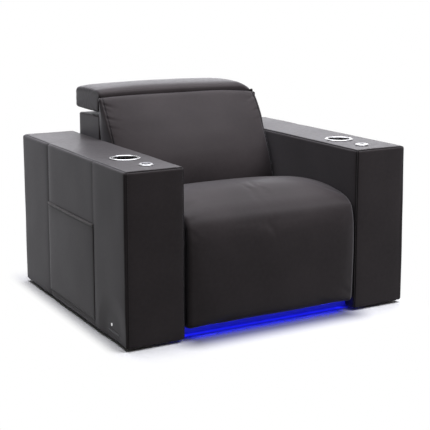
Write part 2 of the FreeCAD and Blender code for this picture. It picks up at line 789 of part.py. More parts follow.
BAR_HALF = 9.5
for side, hand in ((-1, "left"), (1, "right")):
    def main_outline(sketch):
        draw_slot(sketch, main_pivot, main_lower, BAR_HALF)

    def rear_outline(sketch):
        draw_slot(sketch, rear_pivot, rear_upper, BAR_HALF)

    def upper_outline(sketch):
        draw_slot(sketch, rear_upper, leg_upper, BAR_HALF)

    def lower_outline(sketch):
        draw_slot(sketch, main_lower, leg_lower, BAR_HALF)

    main_holes = [(main_pivot, free_hole), (main_upper, free_hole), (main_lower, free_hole)]
    side_plate(f"{hand}_main_leg_link", leg_plane, side, main_outline, main_holes, "link_thickness")
    rear_holes = [(rear_pivot, free_hole), (rear_upper, free_hole)]
    side_plate(f"{hand}_rear_leg_link", leg_plane, side, rear_outline, rear_holes, "link_thickness")
    upper_holes = [(rear_upper, pin), (main_upper, pin), (leg_upper, pin)]
    side_plate(f"{hand}_upper_bar", bar_plane, side, upper_outline, upper_holes, "link_thickness")
    lower_holes = [(main_lower, pin), (leg_lower, pin)]
    side_plate(f"{hand}_lower_bar", bar_plane, side, lower_outline, lower_holes, "link_thickness")

upper_pins = []
lower_pins = []
for side in (-1, 1):
    for point in (rear_upper, main_upper, leg_upper):
        upper_pins.append(pivot_pin(side, point, leg_plane[0], bar_plane[1], "inner"))
    for point in (main_lower, leg_lower):
        lower_pins.append(pivot_pin(side, point, leg_plane[0], bar_plane[1], "inner"))
group("upper_bar_pins", upper_pins)
group("lower_bar_pins", lower_pins)

# Leg rest: angle brackets, board and pad

board_low = size("leg_pad_bottom") + 8
board_high = size("leg_pad_top") - 8
for side, hand in ((-1, "left"), (1, "right")):
    label = f"{hand}_leg_bracket"
    body = doc.addObject("PartDesign::Body", label)
    start = leg_plane[1] if side > 0 else -leg_plane[0]
    web = new_sketch(body, "YZ_Plane", start, label + "_web")
    draw_loop(
        web,
        [
            (leg_board_rear, leg_upper[1] + 14),
            (leg_upper[0] + 11, leg_upper[1] + 11),
            (leg_lower[0] + 12, leg_lower[1] + 10),
            (leg_lower[0] + 12, leg_lower[1] - 10),
            (leg_lower[0] - 11, leg_lower[1] - 15),
            (leg_board_rear, leg_lower[1] - 36),
        ],
    )
    draw_circle(web, leg_upper, free_hole)
    draw_circle(web, leg_lower, free_hole)
    pad(body, web, label + "_pad", "sizes.link_thickness")
    foot_low = leg_lower[1] - 36
    foot_high = leg_upper[1] + 14
    foot = new_sketch(body, "XY_Plane", foot_low, label + "_foot")
    foot_a = side * leg_plane[1]
    foot_b = side * (leg_plane[0] + 13)
    draw_loop(foot, rectangle(min(foot_a, foot_b), leg_board_rear, max(foot_a, foot_b), leg_board_rear + 4))
    pad(body, foot, label + "_flange", foot_high - foot_low)
    keep(body, label)

leg_board = doc.addObject("Part::Box", "leg_board")
leg_board.Length = 2 * (cushion_half - 5)
leg_board.setExpression("Width", "sizes.leg_board_thickness")
leg_board.setExpression("Height", "sizes.leg_pad_top - sizes.leg_pad_bottom - 16")
leg_board.Placement = Placement(Vector(-cushion_half + 5, leg_board_front, board_low), Rotation())
keep(leg_board, "leg_board")

pad_low = size("leg_pad_bottom")
pad_high = size("leg_pad_top")


def leg_outline(x):
    tuck = draw_in(x, cushion_half, 12)
    return [
        (leg_board_front, pad_low + 4),
        (leg_board_front, pad_high),
        (front + 14 + tuck, pad_high),
        ((front + 4 + tuck, pad_high - 58), (front + 0.6 + tuck, pad_high - 138)),
        ((front + 1 + tuck, pad_high - 238), (front + 4.5 + tuck, pad_low + 26)),
        ((front + 11 + tuck, pad_low + 8), (front + 29 + tuck, pad_low)),
    ]


group("leg_cushion", [cushion("leg_cushion", leg_outline, spread(cushion_half))])

# Back: board, side brackets, torque tube with lever, box, cushion

board_half = leg_plane[1]
back_frame = doc.addObject("Part::Box", "back_frame")
back_frame.Length = 2 * board_half
back_frame.setExpression("Width", "sizes.back_board_thickness")
back_frame.Height = 360
back_frame.Placement = Placement(Vector(-board_half, back_board_front, 330), Rotation())
keep(back_frame, "back_frame")

torque_axis = add(back_pivot, (15, -38))


def bracket_outline(sketch):
    y, z = back_pivot
    draw_loop(
        sketch,
        [
            (y - 13, z - 8),
            (y - 13, z + 8),
            (back_board_front + 0.5, z + 18),
            (back_board_front + 0.5, z + 300),
            (back_board_rear - 0.5, z + 300),
            (back_board_rear - 0.5, z),
            (torque_axis[0] + 14, torque_axis[1] + 8),
            (torque_axis[0] + 14, torque_axis[1] - 10),
            (torque_axis[0] - 10, torque_axis[1] - 14),
        ],
    )


for side, hand in ((-1, "left"), (1, "right")):
    holes = [(back_pivot, free_hole)]
    side_plate(f"{hand}_back_bracket", leg_plane, side, bracket_outline, holes, "link_thickness")

start = Vector(-board_half, torque_axis[0], torque_axis[1])
torque_tube = Part.makeCylinder(12, 2 * board_half, start, Vector(1, 0, 0))
cheeks = []
for x in (-14.5, 8.5):
    outline = [
        Vector(x, torque_axis[0] - 12, torque_axis[1]),
        Vector(x, eye_y - 11, eye_z - 10),
        Vector(x, eye_y + 11, eye_z - 10),
        Vector(x, torque_axis[0] + 14, torque_axis[1]),
        Vector(x, torque_axis[0] - 12, torque_axis[1]),
    ]
    cheeks.append(Part.Face(Part.makePolygon(outline)).extrude(Vector(6, 0, 0)))
lever_pin = Part.makeCylinder(pin, 34, Vector(-17, eye_y, eye_z), Vector(1, 0, 0))
lever_shape = torque_tube.fuse(cheeks).fuse(lever_pin).removeSplitter()
group("back_lever", [lever_shape])

shell = doc.addObject("PartDesign::Body", "back_shell")
shell_sketch = new_sketch(shell, "XY_Plane", size("shell_bottom"), "back_shell_foot")
draw_loop(shell_sketch, rectangle(-cushion_half, back_board_rear, cushion_half, shell_rear))
shell_block = pad(shell, shell_sketch, "back_shell_block", "sizes.shell_top - sizes.shell_bottom")


def shell_edges(edge):
    """Edges of the rear face."""
    return edge.BoundBox.YMin > shell_rear - 1


shell_round = fillet(shell, shell_block, "back_shell_edges", shell_edges, 9)
doc.recompute()
shell_hollow = new_sketch(shell, "XY_Plane", size("shell_bottom") + size("shell_wall"), "back_shell_room")
wall = size("shell_wall")
inner_half = cushion_half - wall
draw_loop(shell_hollow, rectangle(-inner_half, back_board_rear + wall, inner_half, shell_rear - wall))
room_height = "sizes.shell_top - sizes.shell_bottom - 2 * sizes.shell_wall"
pocket(shell, shell_hollow, "back_shell_cavity", room_height, downwards=False)
keep(shell, "back_shell")

back_low = size("back_bottom")
back_high = size("back_top")
cushion_rear = back_board_front - 0.4


def back_outline(x):
    bulge = 14 * crown(x, cushion_half)
    tuck = draw_in(x, cushion_half, 10)
    lift = 5 * crown(x, cushion_half)
    knee = seat_rear + 4.5
    return [
        (cushion_rear, back_low),
        (cushion_rear, back_high - 16 - tuck),
        (
            (cushion_rear - 12, back_high + lift - tuck),
            (cushion_rear - 28 + 0.5 * tuck, back_high - 18 - 0.5 * tuck),
        ),
        (
            (cushion_rear - 69 - 0.6 * bulge + tuck, back_high - 81),
            (cushion_rear - 107 - bulge + tuck, back_high - 157),
        ),
        (
            (cushion_rear - 147 - bulge + tuck, back_high - 243),
            (knee + tuck, back_high - 323),
        ),
        (knee + tuck, back_low),
    ]


group("back_cushion", [cushion("back_cushion", back_outline, spread(cushion_half))])

# Headrest: brackets on the back board, hinge arms, pins, board and roll

hinge_x = size("headrest_hinge_offset")
hy, hz = headrest_pivot
board_top = 690.0


def hinge_leaf(x0, x1, side, reach_points, foot):
    """Flat leaf with a round eye about the headrest hinge."""
    low = min(side * x0, side * x1)
    outline = [Vector(low, p[0], p[1]) for p in reach_points + [reach_points[0]]]
    leaf = Part.Face(Part.makePolygon(outline)).extrude(Vector(abs(x1 - x0), 0, 0))
    eye_round = Part.makeCylinder(7, abs(x1 - x0), Vector(low, hy, hz), Vector(1, 0, 0))
    shape = leaf.fuse(eye_round).fuse(foot)
    return shape


brackets = []
arms = []
hinge_pins = []
HINGE_PIN = 3.0
for side in (-1, 1):
    post = [(hy - 6, board_top), (hy + 6, board_top), (hy + 6, hz), (hy - 6, hz)]
    x_low = min(side * (hinge_x - 16), side * (hinge_x + 4))
    foot = box(x_low, x_low + 20, hy - 6, back_board_rear, board_top, board_top + 4)
    leaf = hinge_leaf(hinge_x, hinge_x + 4, side, post, foot)
    hole = Part.makeCylinder(HINGE_PIN, 40, Vector(side * hinge_x - 20, hy, hz), Vector(1, 0, 0))
    brackets.append(leaf.cut(hole).removeSplitter())
    arm = [
        (hy - 5, hz + 5),
        (hy + 6, hz + 4),
        (hy + 58, size("headrest_bottom") + 16),
        (hy + 190, size("headrest_bottom") + 16),
        (hy + 190, size("headrest_bottom") + 10),
        (hy + 30, size("headrest_bottom") + 10),
        (hy - 2, hz - 8),
    ]
    x_low = min(side * (hinge_x + 5.5), side * (hinge_x + 25))
    foot = box(
        x_low,
        x_low + 19.5,
        hy + 60,
        hy + 190,
        size("headrest_bottom") + 10,
        size("headrest_bottom") + 13,
    )
    leaf = hinge_leaf(hinge_x + 5.5, hinge_x + 9.5, side, arm, foot)
    free = Part.makeCylinder(HINGE_PIN + 0.05, 60, Vector(side * hinge_x - 30, hy, hz), Vector(1, 0, 0))
    arms.append(leaf.cut(free).removeSplitter())
    x_low = min(side * hinge_x, side * (hinge_x + 9.5))
    shaft = Part.makeCylinder(HINGE_PIN, 9.5, Vector(x_low, hy, hz), Vector(1, 0, 0))
    cap_x = side * (hinge_x + 9.5) if side > 0 else side * (hinge_x + 9.5) - 1.5
    cap = Part.makeCylinder(HINGE_PIN + 2, 1.5, Vector(cap_x, hy, hz), Vector(1, 0, 0))
    hinge_pins.append(shaft.fuse(cap).removeSplitter())
group("headrest_brackets", brackets)
group("headrest_arms", arms)
group("headrest_pins", hinge_pins)

rest_front = hy + 17.5
rest_rear = rear - size("headrest_setback")
head_board = doc.addObject("Part::Box", "headrest_board")
head_board.Length = 2 * (cushion_half - 25)
head_board.Width = rest_rear - 20 - rest_front
head_board.Height = 10
head_board_corner = Vector(-cushion_half + 25, rest_front, size("headrest_bottom"))
head_board.Placement = Placement(head_board_corner, Rotation())
keep(head_board, "headrest_board")


def headrest_outline(x):
    low = size("headrest_bottom") + 10.3
    tuck = draw_in(x, cushion_half, 16)
    high = size("headrest_top") - 20 + 20 * crown(x, cushion_half) - tuck
    middle = (rest_front + rest_rear) / 2
    return [
        (rest_front + 4 + tuck, low),
        (rest_rear - 20 - tuck, low),
        ((rest_rear - 3 - tuck, low + 28), (rest_rear - 4 - tuck, low + 66)),
        ((rest_rear - 14 - tuck, high - 11), (rest_rear - 34 - tuck, high - 4)),
        ((middle, high), (hy + 18 + tuck, high - 8)),
        ((hy + 4 + tuck, high - 15), (hy - 1.5 + tuck, high - 30)),
        (hy - 1.5 + tuck, low + 12),
    ]


roll = cushion("headrest_cushion", headrest_outline, spread(cushion_half))
for side in (-1, 1):
    x_low = min(side * (hinge_x - 6), side * (hinge_x + 28))
    slot_low = size("headrest_bottom")
    notch = box(x_low, x_low + 34, hy - 20, hy + 62, slot_low, hz + 12)
    channel_cut = box(x_low, x_low + 34, hy + 55, hy + 195, slot_low, slot_low + 17)
    roll = roll.cut(notch).cut(channel_cut)
group("headrest_cushion", [roll.Solids[0] if len(roll.Solids) == 1 else roll])

# Checks, then one file for each node

doc.recompute()
os.makedirs("parts", exist_ok=True)
faults = []
for obj in nodes:
    state = [str(s) for s in obj.State]
    if "Invalid" in state or "Error" in state:
        faults.append(f"{obj.Label}: state {state}")
    if obj.Shape.isNull() or not obj.Shape.isValid():
        faults.append(f"{obj.Label}: shape not valid")
if faults:
    raise SystemExit("\n".join(faults))
for obj in nodes:
    obj.Shape.exportStep(os.path.join("parts", obj.Label + ".step"))
print(len(nodes), "nodes written")
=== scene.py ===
"""Looks of a single cinema recliner seat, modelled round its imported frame.

Everything is in metres in the frame's own axes: +X to the right arm as seen from the front,
-Y the way the sitter faces, +Z up, the floor at z = 0. Each sub-assembly is a class that holds
its sizes and builds its upholstery, and each finish is a small class that makes one material.
"""

import json
import logging
import math
from dataclasses import dataclass, field
from enum import Enum
from typing import Callable, Iterable, Optional, Sequence, Union

import bpy
import bmesh
import numpy as np
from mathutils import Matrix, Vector, kdtree, noise
from mathutils.bvhtree import BVHTree


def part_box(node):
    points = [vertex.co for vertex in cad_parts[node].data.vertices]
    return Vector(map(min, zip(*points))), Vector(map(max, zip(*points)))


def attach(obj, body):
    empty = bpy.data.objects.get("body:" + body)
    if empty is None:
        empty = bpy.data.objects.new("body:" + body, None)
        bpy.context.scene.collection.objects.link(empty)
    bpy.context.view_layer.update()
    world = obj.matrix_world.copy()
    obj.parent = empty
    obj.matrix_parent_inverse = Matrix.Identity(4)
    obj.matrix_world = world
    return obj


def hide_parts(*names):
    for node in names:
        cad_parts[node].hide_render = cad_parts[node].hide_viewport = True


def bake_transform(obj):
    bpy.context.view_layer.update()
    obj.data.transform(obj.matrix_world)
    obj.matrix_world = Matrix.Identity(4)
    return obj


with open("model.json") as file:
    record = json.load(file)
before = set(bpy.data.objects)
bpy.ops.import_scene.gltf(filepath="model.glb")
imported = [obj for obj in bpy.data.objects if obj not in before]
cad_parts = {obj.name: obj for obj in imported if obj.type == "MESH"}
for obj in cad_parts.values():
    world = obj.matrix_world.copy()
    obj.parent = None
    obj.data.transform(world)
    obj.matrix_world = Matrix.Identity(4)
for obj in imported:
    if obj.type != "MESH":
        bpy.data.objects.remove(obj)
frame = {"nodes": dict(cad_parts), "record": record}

LOG = logging.getLogger("recliner")

Colour = tuple[float, float, float]
Point = tuple[float, float, float]
Curve2D = Sequence[tuple[float, float]]
Source = Union[bpy.types.NodeSocket, float, Sequence[float]]
StitchLine = tuple[np.ndarray, np.ndarray]

WHITE = (1.0, 1.0, 1.0, 1.0)
NOUGHT = (0.0, 0.0, 0.0)
SEAM_SAMPLE = 0.0012  # gap of the points that stand for a seam
SEAM_MARGIN = 0.08  # further than this from a seam's box, it has no effect
SEAM_STEP = 0.0025  # gap of the points of a seam on a box
STITCH_STEP = 0.006  # gap of the points of a stitch line
STITCH_REACH = 0.002  # how far above the leather a stitch line is looked for


class Side(Enum):
    """The two sides of the seat, as seen from the front."""

    LEFT = -1
    RIGHT = 1

    @property
    def hand(self) -> str:
        """The word used in node names."""
        return self.name.lower()


# Finishes


class NodeBuilder:
    """Adds nodes to a tree, with their values and links."""

    def __init__(self, tree: bpy.types.NodeTree) -> None:
        """Keeps the tree.

        Args:
            tree: where the nodes go.
        """
        self.tree = tree

    def node(self, kind: str, inputs: Optional[dict] = None, **settings: object) -> bpy.types.Node:
        """Adds a node.

        Args:
            kind: the node's type name.
            inputs: values or sockets by input name or index.
            settings: properties of the node.

        Returns:
            The new node.
        """
        made = self.tree.nodes.new(kind)
        for key, value in settings.items():
            setattr(made, key, value)
        for key, value in (inputs or {}).items():
            if isinstance(value, bpy.types.NodeSocket):
                self.tree.links.new(value, made.inputs[key])
            else:
                made.inputs[key].default_value = value
        return made

    def maths(self, operation: str, *values: Source, vector: bool = False) -> bpy.types.NodeSocket:
        """Adds a sum on numbers or vectors.

        Args:
            operation: the sum.
            values: its inputs in order.
            vector: whether it is on vectors.

        Returns:
            The result's socket.
        """
        kind = "ShaderNodeVectorMath" if vector else "ShaderNodeMath"
        return self.node(kind, dict(enumerate(values)), operation=operation).outputs[0]

    def seen(self) -> bpy.types.NodeSocket:
        """One for what the camera sees, straight, mirrored or through clear things.

        Returns:
            The number's socket.
        """
        path = self.node("ShaderNodeLightPath").outputs
        straight = self.maths("MAXIMUM", path["Is Camera Ray"], path["Is Glossy Ray"])
        return self.maths("MAXIMUM", straight, path["Is Transmission Ray"])


class ShaderBuilder(NodeBuilder):
    """Builds one procedural material from named nodes on Object coordinates."""

    def __init__(self, name: str) -> None:
        """Starts an empty material.

        Args:
            name: the material's name.
        """
        self.material = bpy.data.materials.new(name)
        self.material.use_nodes = True
        super().__init__(self.material.node_tree)
        self.tree.nodes.clear()
        self.output = self.tree.nodes.new("ShaderNodeOutputMaterial")
        self.place = self.tree.nodes.new("ShaderNodeTexCoord").outputs["Object"]

    def noise(self, scale: float, detail: float = 2.0, stretch: Colour = (1, 1, 1)) -> bpy.types.NodeSocket:
        """Cloudy pattern.

        Args:
            scale: patches per metre.
            detail: finer layers.
            stretch: scale of each axis.

        Returns:
            The pattern's value socket.
        """
        mapped = self.node("ShaderNodeMapping", {"Vector": self.place, "Scale": stretch}).outputs[0]
        return self.node(
            "ShaderNodeTexNoise", {"Vector": mapped, "Scale": scale, "Detail": detail}
        ).outputs["Fac"]

    def spread(self, value: bpy.types.NodeSocket, low: float, high: float, a: float = 0.0,
               b: float = 1.0) -> bpy.types.NodeSocket:
        """Stretches a value from one range to another, clamped.

        Args:
            value: the number's socket.
            low: start of its range.
            high: end of its range.
            a: what the start becomes.
            b: what the end becomes.

        Returns:
            The new number's socket.
        """
        made = self.node("ShaderNodeMapRange", {0: value, 1: low, 2: high, 3: a, 4: b}, clamp=True)
        return made.outputs[0]

    def blend(self, share: Source, a: Source, b: Source) -> bpy.types.NodeSocket:
        """Mixes two colours by a share.

        Args:
            share: how much of the second.
            a: first colour.
            b: second colour.

        Returns:
            The mixed colour's socket.
        """
        made = self.node("ShaderNodeMix", data_type="RGBA")
        for index, value in ((0, share), (6, a), (7, b)):
            if isinstance(value, bpy.types.NodeSocket):
                self.tree.links.new(value, made.inputs[index])
            else:
                made.inputs[index].default_value = value if index == 0 else (*value, 1.0)
        return made.outputs[2]

    def attribute(self, name: str) -> bpy.types.NodeSocket:
        """Reads a number stored on the mesh."""
        return self.node("ShaderNodeAttribute", attribute_name=name).outputs["Fac"]

    def edges(self, low: float = 0.51, high: float = 0.58) -> bpy.types.NodeSocket:
        """Share of wear, one along outward edges."""
        return self.spread(self.node("ShaderNodeNewGeometry").outputs["Pointiness"], low, high)

    def bump(self, height: bpy.types.NodeSocket, strength: float, distance: float,
             under: Optional[bpy.types.NodeSocket] = None) -> bpy.types.NodeSocket:
        """Turns a height pattern into a bump, on top of an earlier one.

        Args:
            height: socket of the pattern.
            strength: how strongly it shows.
            distance: its height in metres.
            under: socket of the earlier bump.

        Returns:
            The bump's socket.
        """
        made = self.node("ShaderNodeBump", {"Height": height, "Strength": strength, "Distance": distance})
        if under is not None:
            self.tree.links.new(under, made.inputs["Normal"])
        return made.outputs[0]

    def surface(self, colour: Source, roughness: Source, normal: Optional[bpy.types.NodeSocket],
                **constants: object) -> bpy.types.Material:
        """Closes the tree with a Principled shader.

        Args:
            colour: socket of the base colour.
            roughness: socket or number.
            normal: socket of the bump, or None.
            constants: further inputs of the shader, by name with _ for a space.

        Returns:
            The finished material.
        """
        shader = self.node("ShaderNodeBsdfPrincipled", {"Base Color": colour, "Roughness": roughness})
        if normal is not None:
            self.tree.links.new(normal, shader.inputs["Normal"])
        for key, value in constants.items():
            shader.inputs[key.replace("_", " ")].default_value = value
        self.tree.links.new(shader.outputs[0], self.output.inputs["Surface"])
        return self.material


def shade(colour: Colour, share: float, lift: float = 0.0) -> Colour:
    """A colour made lighter or darker.

    Args:
        colour: the colour.
        share: how much of it stays.
        lift: what is added to each channel.

    Returns:
        The new colour.
    """
    return tuple(share * c + lift for c in colour)


@dataclass(frozen=True)
class Leather:
    """Semi-gloss upholstery leather with a pebbled grain, with painted shade in its seams."""

    name: str = "charcoal_leather"
    colour: Colour = (0.0460, 0.0382, 0.0389)
    worn: Colour = (0.078, 0.068, 0.069)
    # colour of the painted highlight along the top of the pocket rims
    rim_highlight_colour: Colour = (0.20, 0.185, 0.18)
    # seam: colour of the painted shade in the seam grooves
    seam: Colour = (0.0030, 0.0026, 0.0026)
    pebble: float = 620.0
    roughness: float = 0.37
    specular: float = 0.06
    sheen: float = 0.44
    sheen_spread: float = 0.42
    sheen_tint: Colour = (0.94, 0.94, 1.0)
    warp: float = 0.0035

    def material(self) -> bpy.types.Material:
        """Makes the leather.

        Returns:
            The material.
        """
        b = ShaderBuilder(self.name)
        warp = b.node(
            "ShaderNodeTexNoise", {"Vector": b.place, "Scale": 90.0, "Detail": 1.0}
        ).outputs["Color"]
        bent = b.maths("MULTIPLY", warp, (self.warp,) * 3, vector=True)
        moved = b.maths("ADD", b.place, bent, vector=True)
        cells = b.node("ShaderNodeTexVoronoi", {"Vector": moved, "Scale": self.pebble}, feature="SMOOTH_F1")
        grain = cells.outputs["Distance"]
        cloud = b.noise(5.5, 3.0)
        mottle = b.noise(70.0, 2.0)
        pores = b.noise(1900.0, 1.0)
        tone = b.blend(b.spread(cloud, 0.3, 0.7), shade(self.colour, 0.86), shade(self.colour, 1.16))
        tone = b.blend(b.spread(grain, 0.15, 0.75, 0.0, 0.22), tone, shade(self.colour, 0.5))
        tone = b.blend(b.spread(mottle, 0.35, 0.7, 0.0, 0.12), tone, self.worn)
        worn = b.maths("MULTIPLY", b.edges(), 0.45)
        tone = b.blend(worn, tone, self.worn)
        # painted highlight along the top of each pocket rim
        tone = b.blend(b.attribute("painted_rim_highlight"), tone, self.rim_highlight_colour)
        # painted shade in the seam grooves, also made fully rough there
        seam_shade = b.attribute("seam_shade")
        tone = b.blend(seam_shade, tone, self.seam)
        gloss = b.spread(mottle, 0.3, 0.75, self.roughness - 0.04, self.roughness + 0.06)
        gloss = b.maths("ADD", gloss, b.spread(grain, 0.0, 0.8, -0.02, 0.05))
        rough = b.maths("MAXIMUM", gloss, seam_shade)
        lift = b.bump(cloud, 0.15, 0.0030)
        lift = b.bump(b.spread(grain, 0.0, 0.9, 1.0, 0.0), 0.16, 0.00022, lift)
        lift = b.bump(pores, 0.08, 0.00008, lift)
        return b.surface(tone, rough, lift, Specular_IOR_Level=self.specular, Sheen_Weight=self.sheen,
                         Sheen_Roughness=self.sheen_spread, Sheen_Tint=(*self.sheen_tint, 1.0))


@dataclass(frozen=True)
class Plywood:
    """Raw plywood: long face grain, ply lines on the edges, small flecks."""

    name: str = "raw_plywood"
    light: Colour = (0.58, 0.44, 0.28)
    dark: Colour = (0.40, 0.27, 0.15)

    def material(self) -> bpy.types.Material:
        """Makes the wood.

        Returns:
            The material.
        """
        b = ShaderBuilder(self.name)
        fibre = b.noise(14.0, 6.0, (1.0, 14.0, 14.0))
        fleck = b.noise(160.0, 2.0, (1.0, 6.0, 6.0))
        plies = b.noise(3.0, 1.0, (0.4, 60.0, 60.0))
        tone = b.blend(b.spread(fibre, 0.35, 0.68), self.light, self.dark)
        tone = b.blend(b.spread(plies, 0.52, 0.6, 0.0, 0.35), tone, self.dark)
        tone = b.blend(b.spread(fleck, 0.6, 0.72, 0.0, 0.5), tone, shade(self.dark, 0.5))
        tone = b.blend(b.edges(0.52, 0.7), tone, shade(self.light, 1.1))
        lift = b.bump(fibre, 0.3, 0.0006)
        return b.surface(tone, b.spread(fibre, 0.3, 0.7, 0.55, 0.75), lift)


@dataclass(frozen=True)
class PowderCoat:
    """Powder coated steel: fine orange peel, worn bright where edges wear."""

    name: str = "black_powder_coat"
    colour: Colour = (0.022, 0.022, 0.024)
    bare: Colour = (0.16, 0.16, 0.165)

    def material(self) -> bpy.types.Material:
        """Makes the coated steel.

        Returns:
            The material.
        """
        b = ShaderBuilder(self.name)
        peel = b.noise(900.0, 1.0)
        dust = b.noise(11.0, 4.0)
        rub = b.noise(120.0, 3.0)
        tone = b.blend(b.spread(dust, 0.35, 0.75, 0.0, 0.35), self.colour, shade(self.colour, 2.2))
        bare = b.maths("MULTIPLY", b.edges(0.56, 0.72), b.spread(rub, 0.45, 0.6))
        tone = b.blend(bare, tone, self.bare)
        lift = b.bump(peel, 0.25, 0.0002)
        return b.surface(tone, b.spread(dust, 0.3, 0.7, 0.34, 0.5), lift)


@dataclass(frozen=True)
class BrushedMetal:
    """Bright metal with fine brush lines and faint handling marks."""

    name: str = "brushed_steel"
    colour: Colour = (0.66, 0.66, 0.67)
    roughness: float = 0.24
    lines: Colour = (1.0, 1.0, 60.0)

    def material(self) -> bpy.types.Material:
        """Makes the metal.

        Returns:
            The material.
        """
        b = ShaderBuilder(self.name)
        brush = b.noise(45.0, 3.0, self.lines)
        marks = b.noise(35.0, 4.0)
        tone = b.blend(b.spread(brush, 0.3, 0.7), shade(self.colour, 0.88), self.colour)
        tone = b.blend(b.spread(marks, 0.55, 0.75, 0.0, 0.25), tone, shade(self.colour, 0.7))
        tone = b.blend(b.edges(0.53, 0.65), tone, tuple(min(1.0, 1.2 * c) for c in self.colour))
        lift = b.bump(brush, 0.12, 0.00012)
        rough = b.spread(marks, 0.3, 0.75, self.roughness - 0.06, self.roughness + 0.1)
        return b.surface(tone, rough, lift, Metallic=1.0)


@dataclass(frozen=True)
class CupMetal:
    """Spun metal with a bright flange and a dark, worn inside."""

    name: str = "cup_metal"
    bright: Colour = (0.46, 0.46, 0.47)
    dark: Colour = (0.018, 0.018, 0.019)
    lip: tuple[float, float] = (0.5990, 0.6035)
    roughness: float = 0.26

    def material(self) -> bpy.types.Material:
        """Makes the metal.

        Returns:
            The material.
        """
        b = ShaderBuilder(self.name)
        spin = b.noise(60.0, 3.0, (1.0, 1.0, 40.0))
        marks = b.noise(55.0, 4.0)
        height = b.node("ShaderNodeSeparateXYZ", {0: b.place}).outputs["Z"]
        flange = b.spread(height, self.lip[0], self.lip[1])
        lip = b.blend(b.spread(spin, 0.3, 0.7), shade(self.bright, 0.85), self.bright)
        lip = b.blend(b.spread(marks, 0.5, 0.75, 0.0, 0.3), lip, shade(self.bright, 0.6))
        tone = b.blend(flange, self.dark, lip)
        tone = b.blend(b.edges(0.54, 0.68), tone, (0.6, 0.6, 0.6))
        rough = b.spread(marks, 0.3, 0.75, self.roughness - 0.06, self.roughness + 0.12)
        return b.surface(tone, rough, b.bump(spin, 0.12, 0.0001), Metallic=1.0)


@dataclass(frozen=True)
class MouldedPlastic:
    """Moulded plastic with a fine spark-eroded texture and worn edges."""

    name: str = "black_plastic"
    colour: Colour = (0.02, 0.02, 0.022)
    roughness: float = 0.55

    def material(self) -> bpy.types.Material:
        """Makes the plastic.

        Returns:
            The material.
        """
        b = ShaderBuilder(self.name)
        grit = b.noise(1500.0, 2.0)
        scuff = b.noise(40.0, 4.0)
        tone = b.blend(b.spread(scuff, 0.45, 0.8, 0.0, 0.4), self.colour, shade(self.colour, 1.8, 0.004))
        tone = b.blend(b.edges(0.53, 0.66), tone, shade(self.colour, 2.0, 0.01))
        lift = b.bump(grit, 0.2, 0.00015)
        rough = b.spread(scuff, 0.3, 0.8, self.roughness - 0.08, self.roughness + 0.1)
        return b.surface(tone, rough, lift)


@dataclass(frozen=True)
class LitPlastic:
    """Frosted plastic lit blue from within, a little uneven along its length."""

    name: str = "lit_diffuser"
    colour: Colour = (0.006, 0.008, 0.55)
    strength: float = 9.0

    def material(self) -> bpy.types.Material:
        """Makes the glowing plastic.

        Returns:
            The material.
        """
        b = ShaderBuilder(self.name)
        bands = b.noise(26.0, 1.0, (1.0, 0.2, 0.2))
        frost = b.noise(700.0, 1.0)
        tone = b.blend(b.spread(bands, 0.3, 0.7), shade(self.colour, 0.85), self.colour)
        made = b.surface(tone, b.spread(frost, 0.3, 0.7, 0.4, 0.6), b.bump(frost, 0.2, 0.0002))
        shader = next(n for n in b.tree.nodes if n.type == "BSDF_PRINCIPLED")
        b.tree.links.new(tone, shader.inputs["Emission Color"])
        shader.inputs["Emission Strength"].default_value = self.strength
        return made


@dataclass(frozen=True)
class Thread:
    """Bonded sewing thread with a visible twist."""

    name: str = "charcoal_thread"
    colour: Colour = (0.030, 0.027, 0.028)

    def material(self) -> bpy.types.Material:
        """Makes the thread.

        Returns:
            The material.
        """
        b = ShaderBuilder(self.name)
        twist = b.noise(2600.0, 1.0, (1.0, 0.5, 0.8))
        tone = b.blend(b.spread(twist, 0.35, 0.65), shade(self.colour, 0.6), shade(self.colour, 1.5))
        return b.surface(tone, b.spread(twist, 0.3, 0.7, 0.5, 0.7), b.bump(twist, 0.5, 0.0002))


